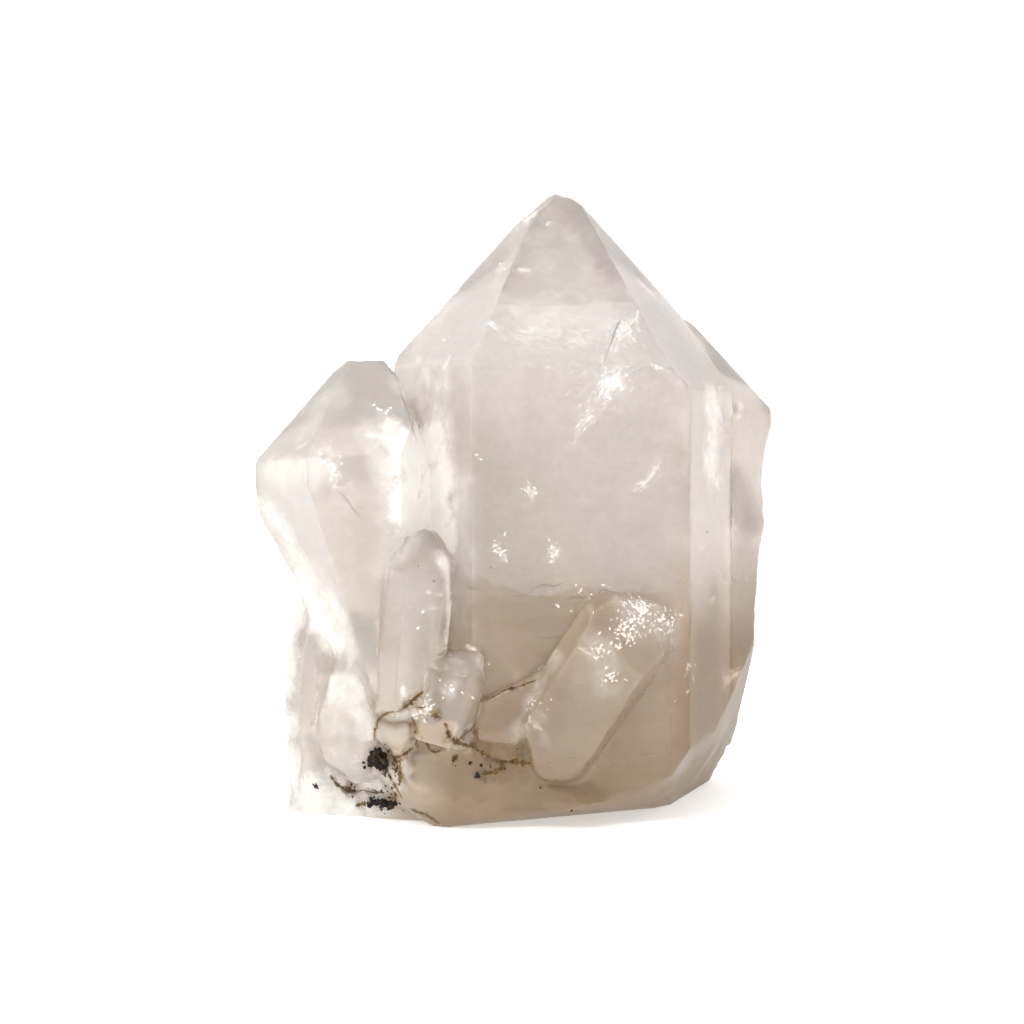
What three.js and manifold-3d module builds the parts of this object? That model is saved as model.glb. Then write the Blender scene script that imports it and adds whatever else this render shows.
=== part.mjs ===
// A quartz crystal cluster: one large six-sided point with smaller points grown into it, on a broken root
// that is cut off flat. The crystals have grown together, so the quartz is one solid. Two patches of dark
// oxide sit in hollows of the root. Millimetres, +Z up, -Y towards the front with the small points. The
// origin is under the middle of the bounding box, on the resting face.
import * as THREE from "three";
import { ConvexGeometry } from "three/addons/geometries/ConvexGeometry.js";
import { mergeVertices } from "three/addons/utils/BufferGeometryUtils.js";
import Module from "manifold-3d";

const wasm = await Module();
wasm.setup();

// Driving dimensions.
const TIP_SLOPE = 51.79; // degrees between a quartz termination face and the plane across the crystal's axis
const PRISM_SIDES = 6;
const LEAN_BACK = 4; // degrees that the large point leans away from the front
const TOUCH_GAP = 0.3; // clearance between the quartz and what sits in its hollows
const SHARED_POINT = 1e-3; // vertices closer than this are one vertex
const BALL_DETAIL = 2; // how finely each ball of a rounded mass is divided
const REST_HEIGHT = 0; // height of the flat resting face
const BEYOND = 200; // larger than the cluster in every direction
const QUARTZ = { color: 0xe6dcd6, roughness: 0.12, metalness: 0, flatShading: true };
const OXIDE = { color: 0x1e1713, roughness: 0.85, metalness: 0, flatShading: true };

const UP = new THREE.Vector3(0, 0, 1);
const radians = THREE.MathUtils.degToRad;

// A repeatable source of numbers from 0 to 1.
function randomFrom(seed) {
  let state = seed;
  return () => {
    state = (state * 1664525 + 1013904223) % 4294967296;
    return state / 4294967296;
  };
}

// Leans an upright body by `lean` degrees towards the angle `towards`, after a turn about its own axis.
function placement({ foot, lean = 0, towards = 90, turn = 0 }) {
  const across = new THREE.Vector3(-Math.sin(radians(towards)), Math.cos(radians(towards)), 0);
  const leaned = new THREE.Quaternion().setFromAxisAngle(across, radians(lean));
  const turned = new THREE.Quaternion().setFromAxisAngle(UP, radians(turn));
  return new THREE.Matrix4().compose(
    new THREE.Vector3(...foot),
    leaned.multiply(turned),
    new THREE.Vector3(1, 1, 1),
  );
}

// The plane through `point` that faces along `normal`: material is kept behind it.
function planeAt(point, normal) {
  const facing = new THREE.Vector3(...normal).normalize();
  return new THREE.Plane().setFromNormalAndCoplanarPoint(facing, new THREE.Vector3(...point));
}

// Every corner of the convex body behind all the planes.
function cornersBehind(planes) {
  const corners = [];
  const [ab, bc, ca, corner] = [0, 0, 0, 0].map(() => new THREE.Vector3());
  for (let i = 0; i < planes.length; i++)
    for (let j = i + 1; j < planes.length; j++)
      for (let k = j + 1; k < planes.length; k++) {
        const [a, b, c] = [planes[i], planes[j], planes[k]];
        ab.crossVectors(a.normal, b.normal);
        bc.crossVectors(b.normal, c.normal);
        ca.crossVectors(c.normal, a.normal);
        const share = a.normal.dot(bc);
        if (Math.abs(share) < 1e-6) continue;
        corner
          .copy(bc)
          .multiplyScalar(-a.constant)
          .addScaledVector(ca, -b.constant)
          .addScaledVector(ab, -c.constant)
          .divideScalar(share);
        if (planes.every((p) => p.distanceToPoint(corner) < 1e-6)) corners.push(corner.clone());
      }
  return corners;
}

// A closed geometry as a solid that can be joined and cut.
function solidOf(geometry) {
  const bare = geometry.clone();
  bare.deleteAttribute("normal");
  bare.deleteAttribute("uv");
  const shared = mergeVertices(bare, SHARED_POINT);
  return new wasm.Manifold(
    new wasm.Mesh({
      numProp: 3,
      vertProperties: shared.attributes.position.array,
      triVerts: new Uint32Array(shared.index.array),
    }),
  );
}

const convexSolid = (planes) => solidOf(new ConvexGeometry(cornersBehind(planes)));

// A six-sided quartz point. `sides` are the distances of its prism faces from its axis, and `tips` the
// heights at which its termination faces would cross the axis, both from the front and round to the left.
// `chips` are planes, each a point and a normal, that break bits off.
function crystal({ sides, tips, root = 0, chips = [], ...where }) {
  const planes = [planeAt([0, 0, root], [0, 0, -1])];
  const slope = radians(TIP_SLOPE);
  for (let k = 0; k < PRISM_SIDES; k++) {
    const facing = -Math.PI / 2 - (k * 2 * Math.PI) / PRISM_SIDES;
    const [x, y] = [Math.cos(facing), Math.sin(facing)];
    planes.push(planeAt([x * sides[k], y * sides[k], 0], [x, y, 0]));
    planes.push(planeAt([0, 0, tips[k]], [x * Math.sin(slope), y * Math.sin(slope), Math.cos(slope)]));
  }
  for (const [point, normal] of chips) planes.push(planeAt(point, normal));
  const placed = placement(where);
  return convexSolid(planes.map((p) => p.applyMatrix4(placed)));
}

// A lump of broken quartz: an ellipsoid cut flat on many sides.
function lump({ radii, cuts = 16, seed = 1, keep = 0.86, ...where }) {
  const random = randomFrom(seed);
  const planes = [];
  for (let k = 0; k < cuts; k++) {
    const height = 1 - (2 * (k + 0.5)) / cuts;
    const around = k * Math.PI * (3 - Math.sqrt(5)) + (random() - 0.5) * 0.9;
    const ring = Math.sqrt(1 - height * height);
    const away = new THREE.Vector3(Math.cos(around) * ring, Math.sin(around) * ring, height);
    const depth = keep + random() * (1 - keep);
    const on = away.clone().multiply(new THREE.Vector3(...radii)).multiplyScalar(depth);
    const normal = away.divide(new THREE.Vector3(...radii));
    planes.push(planeAt(on.toArray(), normal.toArray()));
  }
  const placed = placement(where);
  return convexSolid(planes.map((p) => p.applyMatrix4(placed)));
}

// The shell-shaped hollow that a blow leaves in quartz, as a body to cut away.
function scoop({ radii, detail = 5, ...where }) {
  const ball = new THREE.IcosahedronGeometry(1, detail);
  ball.scale(...radii);
  ball.applyMatrix4(placement(where));
  return solidOf(ball);
}

// A block of broken quartz with these corners.
const block = (corners) => solidOf(new ConvexGeometry(corners.map((c) => new THREE.Vector3(...c))));

// A rounded mass stretched over balls, each a centre and a radius, and grown by `more` all round.
function stretched(balls, more) {
  const skin = [];
  for (const [x, y, z, radius] of balls) {
    const ball = new THREE.IcosahedronGeometry(radius + more, BALL_DETAIL).translate(x, y, z);
    const points = mergeVertices(ball.deleteAttribute("normal").deleteAttribute("uv"), SHARED_POINT);
    const { position } = points.attributes;
    for (let k = 0; k < position.count; k++) skin.push(new THREE.Vector3().fromBufferAttribute(position, k));
  }
  return solidOf(new ConvexGeometry(skin));
}
const rounded = (balls) => stretched(balls, 0);

// The points of the cluster, as they stand. foot is a point on each axis.
const CRYSTALS = {
  large_point: {
    foot: [7.6, -1.5, 0],
    lean: LEAN_BACK,
    turn: 4,
    sides: [23, 24.7, 21, 21, 20.8, 26.8],
    tips: [97.2, 99.7, 96.8, 97.2, 95.2, 98.8],
    chips: [
      [[-1.4, -1, 95.2], [-0.7, -0.3, 1]],
      [[2.2, 0, 94.4], [0.34, 0.1, 1]],
      [[24.6, -7.2, 66.2], [0.86, 0.42, 0.28]],
    ],
  },
  left_point: {
    foot: [-24.4, -16.5, 4],
    lean: 5,
    towards: 105,
    turn: 5,
    sides: [11.4, 11, 12.8, 12, 12.9, 12.6],
    tips: [66, 65.2, 66.8, 66.2, 73, 73.2],
    chips: [
      [[-6.3, -10.5, 46.6], [-0.827, -0.505, -0.24]],
      [[-12.5, 3.6, 41], [-0.9, -0.1, -0.44]],
      [[12.2, 0, 53], [1, -0.2, 0.35]],
    ],
  },
  side_growth: {
    foot: [-12.2, -11.4, 8],
    lean: 3,
    turn: 2,
    sides: [5.2, 5, 5, 5, 5, 4],
    tips: [52, 55, 56, 56, 56, 52.5],
  },
  right_point: {
    foot: [28, 4.4, 6],
    lean: LEAN_BACK,
    turn: -3,
    sides: [12, 19, 17, 12, 12, 11.9],
    tips: [70.7, 70.5, 72, 70, 70.6, 69.2],
    chips: [
      [[12.1, 0, 37.6], [1, 0.12, -0.0845]],
      [[0, 0, 69.6], [0.1, 0, 1]],
    ],
  },
  leaning_point: {
    foot: [-16.1, -24.2, 10],
    lean: 5,
    towards: 10,
    turn: 14,
    root: 7,
    sides: [4.4, 5, 4.6, 4.5, 4.4, 4.5],
    tips: [36, 35.6, 38, 36, 37.6, 37.2],
    chips: [
      [[-2, -4, 33], [-0.8, -0.6, 0.6]],
      [[1.6, 0, 35.4], [0.2, 0, 1]],
    ],
  },
  stub_point: {
    foot: [-11.2, -25.5, 12],
    lean: 14,
    towards: 0,
    turn: -14,
    root: 1.5,
    sides: [3.8, 4.6, 4, 4, 4, 4.2],
    tips: [17.6, 18.5, 19, 20, 20, 19.4],
    chips: [
      [[0, 0, 15.2], [-0.12, -0.2, 1]],
      [[4, 0, 13], [0.7, -0.2, 0.6]],
    ],
  },
  diagonal_point: {
    foot: [11.6, -22.4, 20.5],
    lean: 33,
    towards: 0,
    turn: 6,
    root: -16,
    sides: [4.8, 8, 6.5, 5, 6, 6.3],
    tips: [20, 21.5, 23, 22, 20.5, 19.5],
    chips: [
      [[0, 0, -15.6], [0.1, -0.3, -1]],
      [[-5, 0, -11.6], [-0.9, -0.3, -1]],
      [[4.2, 0, -13.4], [0.7, -0.2, -1]],
      [[0, -4.2, 9], [0.1, -1, 0.5]],
      [[-1, 0, 16], [-0.35, -0.1, 1]],
    ],
  },
  back_left_point: {
    foot: [-19, 9, 3],
    lean: 14,
    towards: 128,
    turn: 20,
    sides: [9, 8.4, 9.6, 8.8, 9, 9.4],
    tips: [54, 52.5, 54, 53, 55, 53],
  },
  back_right_point: {
    foot: [21, 15, 3],
    lean: 9,
    towards: 72,
    turn: 41,
    sides: [9.6, 8.8, 9, 9.8, 9, 8.6],
    tips: [50, 49, 50.5, 51, 49.5, 50],
  },
  back_small_point: {
    foot: [1.5, 23, 2],
    lean: 13,
    towards: 96,
    turn: 9,
    sides: [5.4, 6, 5.6, 5, 5.8, 5.6],
    tips: [34, 33, 33.6, 35, 33, 34],
  },
};

// Broken quartz with straight edges, between the points.
const BLOCKS = {
  wedge: [
    [-5.4, -25.4, 19.4], [1, -25.8, 22.6], [7.6, -25.2, 26], [6, -26.4, 20], [0.6, -27, 12.8],
    [-5.6, -27.2, 14], [8, -20, 25], [-5, -20, 19], [2, -20, 10],
  ],
};

// The root that the points stand in, the ribs down its left side and the beads at their feet.
const MASSES = {
  rib_left: [
    [-32, -9, 33, 1.4], [-32.4, -9, 25.2, 3], [-32.5, -8, 15.8, 3.4], [-31.6, -6, 2.5, 3.5],
    [-26, -3, 24, 6], [-26, -2, 6, 7],
  ],
  rib_middle: [
    [-29.6, -13.4, 33.4, 1.9], [-29.2, -15.6, 26, 3], [-29.6, -15.8, 14.5, 3.5], [-28.6, -12, 4.5, 4],
    [-24, -10, 28, 5],
  ],
  rib_front: [
    [-22.6, -20.8, 27.6, 3.2], [-24, -20.8, 18.6, 4.9], [-25.3, -20.2, 12.6, 4.4], [-23.4, -21.4, 12.4, 3.7],
    [-24.4, -20.6, 9.9, 3.7], [-20, -16, 24, 3], [-20, -16, 8, 3],
  ],
  base_left: [[-30, -8.4, 1.4, 5.2], [-24, -10.6, 1.6, 5.4], [-17.2, -11.6, 1.6, 5], [-14, -4, 2, 6]],
  root_front: [
    [-9.3, -19.4, 7.1, 8.2], [-13.2, -19.4, 7.9, 6.6], [-4, -19.2, 6.9, 8], [3.4, -17.6, 7.2, 8],
    [9, -16.4, 7.6, 7.4], [-8, -21.6, 11.4, 4.9], [0, -12, 8, 7],
  ],
  bead_left: [[-17.7, -24.7, 15.2, 3], [-17, -24.8, 14.9, 3.1], [-17.2, -22, 14.6, 3]],
  bead_right: [[-11.6, -24.6, 14.5, 2.7], [-10.6, -24.7, 14.2, 2.6], [-11, -21, 14, 3]],
  bead_lower: [[-18.4, -21.8, 8.6, 2.2], [-17.8, -21.6, 6.4, 1.6], [-17, -18, 8, 3]],
};

// Dark oxide in hollows of the root, as balls like the masses above.
const OXIDES = {
  oxide_patch: [
    [-20.5, -23.5, 11, 1.2], [-21, -23.4, 10.1, 1], [-19.6, -23.6, 9.8, 1.1], [-20.3, -22, 10.4, 1.4],
  ],
  oxide_rim_patch: [
    [-21.6, -19, 2.6, 0.6], [-19.9, -20.1, 3.2, 0.8], [-18.3, -20.7, 2.8, 0.7], [-19.7, -18.6, 2.9, 0.9],
  ],
};

const LUMPS = {
  sparkle: { foot: [-14.3, -24.8, 20.3], radii: [2.7, 2.4, 2.6], cuts: 16, seed: 3 },
  root_middle: { foot: [0, 2, 4], radii: [35, 26, 13], cuts: 30, seed: 5 },
  root_back: { foot: [-6, 18, 4], radii: [26, 15, 17], cuts: 26, seed: 11 },
  root_right: { foot: [24, 4, 10], radii: [14, 17, 16], cuts: 24, seed: 8 },
};

// Hollows where flakes have broken off the right side.
const SCOOPS = [
  { foot: [69.6, 8, 48.6], radii: [30, 30, 30], detail: 14 },
  { foot: [123.4, 5, 25.5], radii: [85, 85, 85], detail: 30 },
];

// Slanting breaks round the rim of the root: everything in front of each plane is gone.
const BREAKS = [
  [[37.2, 0, 21], [1, -0.25, -0.32]],
  [[33.8, -5, 12], [0.9, -0.35, -0.62]],
  [[29.2, -10, 3.8], [0.5, -0.5, -1]],
  [[20, -24, 4.1], [0.13, -0.3, -1]],
  [[-10, 33, 9], [-0.15, 1, -0.35]],
  [[24, 27, 6], [0.5, 1, -0.5]],
];

// Everything in front of a plane, as a body to cut away.
function breakAway([point, normal]) {
  const slab = new THREE.BoxGeometry(BEYOND, BEYOND, BEYOND).translate(0, 0, BEYOND / 2);
  const facing = new THREE.Vector3(...normal).normalize();
  slab.applyQuaternion(new THREE.Quaternion().setFromUnitVectors(UP, facing));
  return solidOf(slab.translate(...point));
}

const grown = Object.values(CRYSTALS).map(crystal);
const broken = [
  ...Object.values(BLOCKS).map(block),
  ...Object.values(MASSES).map(rounded),
  ...Object.values(LUMPS).map(lump),
];
const whole = [...grown, ...broken].reduce((a, b) => a.add(b));
const underside = breakAway([[0, 0, REST_HEIGHT], [0, 0, -1]]);
const hollows = Object.values(OXIDES).map((balls) => stretched(balls, TOUCH_GAP));
const removed = [...SCOOPS.map(scoop), ...BREAKS.map(breakAway), ...hollows, underside];
const rested = removed.reduce((a, b) => a.subtract(b), whole);
// Gaps closed in between the crystals have filled with quartz, so only the outermost surface is kept.
const filled = rested.decompose().reduce((a, b) => (b.volume() > a.volume() ? b : a));

// A named mesh of a solid.
function meshOf(name, solid, look) {
  const made = solid.getMesh();
  const geometry = new THREE.BufferGeometry()
    .setAttribute("position", new THREE.BufferAttribute(made.vertProperties, 3))
    .setIndex(new THREE.BufferAttribute(made.triVerts, 1));
  geometry.computeVertexNormals();
  const mesh = new THREE.Mesh(geometry, new THREE.MeshStandardMaterial(look));
  mesh.name = name;
  return mesh;
}

const cluster = new THREE.Group();
cluster.add(meshOf("quartz_cluster", filled, QUARTZ));
for (const [name, balls] of Object.entries(OXIDES)) cluster.add(meshOf(name, rounded(balls), OXIDE));

// The middle of the bounding box stands over the origin.
const reach = new THREE.Box3().setFromObject(cluster);
const middle = reach.getCenter(new THREE.Vector3());
cluster.position.set(-middle.x, -middle.y, -reach.min.z);

export default cluster;
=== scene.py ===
"""A quartz crystal cluster: clear points on a broken root, with veils and haze sealed inside, frosted rind
on the worn places, iron stain in the seams and dark oxide in two hollows.

Metres, +Z up, in the frame of the CAD model."""

import math

import bmesh
import bpy
import numpy as np
from bpy.props import FloatProperty, FloatVectorProperty, IntProperty, PointerProperty
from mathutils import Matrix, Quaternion, Vector, noise
from mathutils.bvhtree import BVHTree
from mathutils.geometry import delaunay_2d_cdt
from mathutils.kdtree import KDTree


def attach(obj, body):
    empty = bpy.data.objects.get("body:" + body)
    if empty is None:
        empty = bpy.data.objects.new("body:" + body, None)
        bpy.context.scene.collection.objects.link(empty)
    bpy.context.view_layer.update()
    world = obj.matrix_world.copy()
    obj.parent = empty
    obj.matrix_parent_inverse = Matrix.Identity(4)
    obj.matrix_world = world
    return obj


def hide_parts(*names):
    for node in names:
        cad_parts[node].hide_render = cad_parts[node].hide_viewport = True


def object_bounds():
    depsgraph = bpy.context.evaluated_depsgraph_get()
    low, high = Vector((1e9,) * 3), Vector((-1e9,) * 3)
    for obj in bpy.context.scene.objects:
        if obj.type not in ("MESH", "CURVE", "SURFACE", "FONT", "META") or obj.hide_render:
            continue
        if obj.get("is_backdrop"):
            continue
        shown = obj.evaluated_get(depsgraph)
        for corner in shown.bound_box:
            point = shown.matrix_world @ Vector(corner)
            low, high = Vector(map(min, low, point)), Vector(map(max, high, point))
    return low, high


bl_info = {
    "name": "Quartz Crystal Cluster",
    "version": (1, 0, 0),
    "blender": (4, 5, 0),
    "location": "3D View > Sidebar > Quartz",
    "description": "Grows a quartz cluster round its CAD solids",
    "category": "Add Mesh",
}

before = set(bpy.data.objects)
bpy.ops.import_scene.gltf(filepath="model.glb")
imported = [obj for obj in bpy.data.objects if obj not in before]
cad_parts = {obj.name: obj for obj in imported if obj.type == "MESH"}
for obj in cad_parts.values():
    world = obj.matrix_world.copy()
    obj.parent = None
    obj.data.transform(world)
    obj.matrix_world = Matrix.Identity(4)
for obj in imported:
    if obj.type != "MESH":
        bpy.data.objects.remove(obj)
CAD_LOW, CAD_HIGH = (Vector(corner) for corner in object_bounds())
MM = 0.001


# --- settings that a user would change -------------------------------------------------------------------


def colour(name, description, default):
    return FloatVectorProperty(
        name=name, description=description, default=default, size=3, subtype="COLOR", min=0, max=1
    )


def length(name, description, default):
    return FloatProperty(
        name=name, description=description, default=default, min=0, unit="LENGTH", subtype="DISTANCE"
    )


def factor(name, description, default):
    return FloatProperty(
        name=name, description=description, default=default, min=0, soft_max=1, subtype="FACTOR"
    )


class QuartzSettings(bpy.types.PropertyGroup):
    fine: length("Fine grid", "Spacing of mesh points beside a sharp edge", 0.4 * MM)
    coarse: length("Coarse grid", "Spacing of mesh points inside a face", 1.1 * MM)
    edge_round: length("Edge rounding", "How far an edge's wear reaches into its faces", 0.16 * MM)
    nick: length("Nicks", "Deepest nick in a worn edge", 0.14 * MM)
    break_relief: length("Break relief", "Height of the relief on broken quartz", 0.45 * MM)
    lump: length("Lumps", "Height of the lumps on the small crystals", 0.4 * MM)
    ior: FloatProperty(name="IOR", description="Index of refraction of quartz", default=1.544, min=1)
    clear: factor("Clearness", "Share of the light that goes into the crystal", 0.7)
    body: colour("Upper tint", "Tint of the clear upper part", (0.905, 0.868, 0.85))
    # Painted shade: darkens and browns the low right side.
    low_right_painted_shade: colour("Right shade", "Darkens the low right side", (0.72, 0.64, 0.54))
    band: colour("Band tint", "Paler growth band across the termination", (0.93, 0.91, 0.895))
    above_band: colour(
        "Above the band", "Darkens the front of the termination above the band", (0.86, 0.84, 0.825)
    )
    rosy: colour("Rosy patches", "Multiplies the tint in wide patches", (1.0, 0.97, 0.972))
    # The greenish tint also darkens the painted shade of the cooler patches.
    greenish: colour(
        "Greenish patches", "Multiplies the tint between the rosy patches", (0.90, 0.905, 0.865)
    )
    clouding: colour("Clouding", "Multiplies the tint in fine clouds", (0.95, 0.95, 0.945))
    band_foot: length("Band foot", "Lowest height of the paler band", 70 * MM)
    band_top: length("Band top", "Greatest height of the paler band", 78.4 * MM)
    pale_low: colour("Low left tint", "The left crystals near the root", (0.98, 0.94, 0.88))
    # Brown for the concave seams: partly iron stain, partly painted contact shade.
    seam_stain_and_shade: colour("Seam tint", "Iron-stained quartz in the seams", (0.36, 0.25, 0.13))
    pale: colour("Left tint", "Tint of the milky left side", (0.96, 0.925, 0.895))
    phantom: length("Phantom height", "Height where an older, browner growth of the crystal ends", 36 * MM)
    phantom_tint: colour("Phantom tint", "Tint of the older growth", (0.86, 0.81, 0.73))
    root: colour("Root tint", "Tint towards the root", (0.54, 0.43, 0.30))
    absorb: colour("Depth tint", "Colour of light that has crossed the crystal", (0.80, 0.70, 0.62))
    density: FloatProperty(
        name="Depth", description="Absorption for each metre of crystal", default=10.0, min=0
    )


class SealedSettings(bpy.types.PropertyGroup):
    veil: colour("Veils", "Colour of the veils", (0.98, 0.97, 0.95))
    # Painted light: the veils and their feathers shine with their own colour, this strongly.
    glow: factor("Veil glow", "How brightly the veils shine with painted light", 0.95)
    scattered: IntProperty(
        name="Scattered veils", description="Small veils all round", default=46, min=0
    )
    # Painted glint: how many small clusters of self-lit white flakes are scattered all round.
    painted_glint_clusters: IntProperty(
        name="Glints", description="Small clusters of bright flakes all round", default=40, min=0
    )
    # The root cloud and haze colours also shine faintly by themselves, as painted light.
    cloud: colour("Root cloud", "Colour of the cloud in the root", (0.56, 0.46, 0.35))
    cloud_deep: colour("Cloud shade", "Darker colour of the cloud", (0.44, 0.35, 0.26))
    haze: colour("Haze", "Colour of the milky haze", (0.91, 0.875, 0.875))
    haze_deep: colour("Deep haze", "Colour of the thicker haze", (0.80, 0.785, 0.75))


class SurfaceSettings(bpy.types.PropertyGroup):
    rind: length("Film height", "How far the films stand off the quartz", 0.03 * MM)
    # The frost colour also shines a little by itself, as painted light.
    frost: colour("Frost", "Colour of the frosted rind", (0.95, 0.92, 0.87))
    frost_deep: colour("Frost shade", "Darker colour of the frosted rind", (0.88, 0.84, 0.80))
    stain: colour("Iron stain", "Colour of the stain", (0.16, 0.09, 0.03))
    bloom: colour("Stain bloom", "Colour of the faint stain beside the seams", (0.40, 0.26, 0.12))
    stain_deep: colour("Stain shade", "Darkest colour of the stain", (0.06, 0.035, 0.018))
    oxide: colour("Oxide", "Colour of the oxide", (0.006, 0.004, 0.003))
    oxide_brown: colour("Oxide dust", "Brown of the dust on the oxide", (0.12, 0.07, 0.035))
    grains: IntProperty(name="Grains", description="Grains on each patch of oxide", default=90, min=0)


class StageSettings(bpy.types.PropertyGroup):
    lens: FloatProperty(name="Lens", description="Focal length in millimetres", default=100.0, min=1)
    away: length("Camera distance", "From the camera to what it aims at", 0.448)
    elevation: FloatProperty(
        name="Elevation",
        description="Camera height over the horizon",
        default=math.radians(6),
        subtype="ANGLE",
    )
    floor: colour("Floor", "Colour of the floor", (0.93, 0.93, 0.93))


GROUPS = {
    "quartz_look": QuartzSettings,
    "sealed_look": SealedSettings,
    "surface_look": SurfaceSettings,
    "stage_look": StageSettings,
}


# --- meshes ----------------------------------------------------------------------------------------------


CRISP = math.radians(27)  # faces that meet at more than this keep a crisp edge
WELD = 0.002 * MM  # corners closer than this are one
SAME_FACET = 0.99995  # the least cosine between the normals of triangles in one flat facet
JITTER = 0.12  # how far a grid's points stray, in steps
AWAY = 1e9  # farther than anything, in millimetres
NEAREST_BLOCK = 256  # points compared at a time


def new_object(name, points, faces, smooth=True):
    """A mesh object with these points (metres) and faces, linked to the scene."""
    mesh = bpy.data.meshes.new(name)
    mesh.from_pydata([tuple(p) for p in points], [], [tuple(f) for f in faces])
    mesh.update()
    for polygon in mesh.polygons:
        polygon.use_smooth = smooth
    mesh.set_sharp_from_angle(angle=CRISP)
    piece = bpy.data.objects.new(name, mesh)
    bpy.context.scene.collection.objects.link(piece)
    return piece


def set_attribute(piece, name, values):
    """Stores one number for each point of a piece."""
    layer = piece.data.attributes.new(name, "FLOAT", "POINT")
    layer.data.foreach_set("value", np.asarray(values, dtype=np.float32))


def flat_facets(node):
    """The corners of a CAD node, its triangles gathered into flat facets, and its edges between facets."""
    mesh = bmesh.new()
    mesh.from_mesh(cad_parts[node].data)
    bmesh.ops.remove_doubles(mesh, verts=mesh.verts, dist=WELD)
    bmesh.ops.triangulate(mesh, faces=mesh.faces)
    mesh.normal_update()
    mesh.verts.index_update()
    mesh.faces.index_update()
    facet_of = [-1] * len(mesh.faces)
    facets = []
    for seed in mesh.faces:
        if facet_of[seed.index] >= 0:
            continue
        facet_of[seed.index] = len(facets)
        members = [seed]
        for face in members:
            for edge in face.edges:
                for other in edge.link_faces:
                    if facet_of[other.index] < 0 and other.normal.dot(seed.normal) > SAME_FACET:
                        facet_of[other.index] = len(facets)
                        members.append(other)
        facets.append(members)
    edges = []
    for edge in mesh.edges:
        a, b = edge.link_faces
        if facet_of[a.index] != facet_of[b.index]:
            bend = edge.calc_face_angle_signed(0.0)
            ends = tuple(v.index for v in edge.verts)
            edges.append((ends, bend, (facet_of[a.index], facet_of[b.index])))
    points = [v.co.copy() for v in mesh.verts]
    facets = [[[v.index for v in f.verts] for f in members] for members in facets]
    mesh.free()
    return points, facets, edges


def facet_plane(points, triangles):
    """Area, origin and two axes of a flat facet."""
    total = Vector()
    for a, b, c in triangles:
        total += (points[b] - points[a]).cross(points[c] - points[a])
    normal = total.normalized()
    across = normal.orthogonal().normalized()
    return total.length / 2, points[triangles[0][0]], across, normal.cross(across)


def inside_triangles(spots, corners):
    """Which of the 2D spots lie in any of the triangles."""
    thin, slack = 1e-14, 1e-9
    hit = np.zeros(len(spots), bool)
    for a, b, c in corners:
        ab, ac, d = b - a, c - a, spots - a
        det = ab[0] * ac[1] - ab[1] * ac[0]
        if abs(det) < thin:
            continue
        s = (d[:, 0] * ac[1] - d[:, 1] * ac[0]) / det
        t = (ab[0] * d[:, 1] - ab[1] * d[:, 0]) / det
        hit |= (s >= -slack) & (t >= -slack) & (s + t <= 1 + slack)
    return hit


def hexagonal_grid(low, high, step, draw):
    """Jittered points in a hexagonal pattern over a 2D box."""
    rows = np.arange(low[1], high[1] + step, step * math.sqrt(0.75))
    spots = []
    for k, y in enumerate(rows):
        x = np.arange(low[0] + (k % 2) * step / 2, high[0] + step, step)
        spots.append(np.stack([x, np.full_like(x, y)], axis=1))
    spots = np.concatenate(spots)
    return spots + draw.uniform(-JITTER, JITTER, spots.shape) * step


def nearest(spots, others):
    """Distance from each of the 2D spots to the nearest of the others."""
    if not len(others):
        return np.full(len(spots), AWAY)
    best = np.full(len(spots), np.inf)
    for start in range(0, len(others), NEAREST_BLOCK):
        block = others[start : start + NEAREST_BLOCK]
        gap = np.linalg.norm(spots[:, None] - block[None], axis=2)
        best = np.minimum(best, gap.min(axis=1))
    return best


def walled_regions(triangles, walls):
    """Lists of the triangles in each region that walls close in all round."""
    beside = {}
    for index, (a, b, c) in enumerate(triangles):
        for pair in ((a, b), (b, c), (c, a)):
            beside.setdefault(frozenset(pair), []).append(index)
    seen = [False] * len(triangles)
    regions = []
    for seed in range(len(triangles)):
        if seen[seed]:
            continue
        seen[seed] = True
        region, closed = [seed], True
        for index in region:
            a, b, c = triangles[index]
            for pair in (frozenset((a, b)), frozenset((b, c)), frozenset((c, a))):
                if pair in walls:
                    continue
                others = beside[pair]
                closed = closed and len(others) == 2
                for other in others:
                    if not seen[other]:
                        seen[other] = True
                        region.append(other)
        if closed:
            regions.append(region)
    return regions


SHARP = math.radians(20)  # two facets that meet at less than this belong to one curved surface
SKIN_SEED = 7
# How the fine and the wide grid of points share a facet, in steps of each grid.
SMALLEST_FILLED = 1.2  # a facet no wider than this many coarse steps needs no points inside
FINE_BAND = 0.7, 3.0  # the fine grid lies between these distances from a sharp edge
FINE_RIM, WIDE_RIM = 0.6, 0.55  # the least distance of each grid from the facet's outline
WIDE_START = 3.6  # the wide grid starts this many fine steps from a sharp edge


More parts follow.
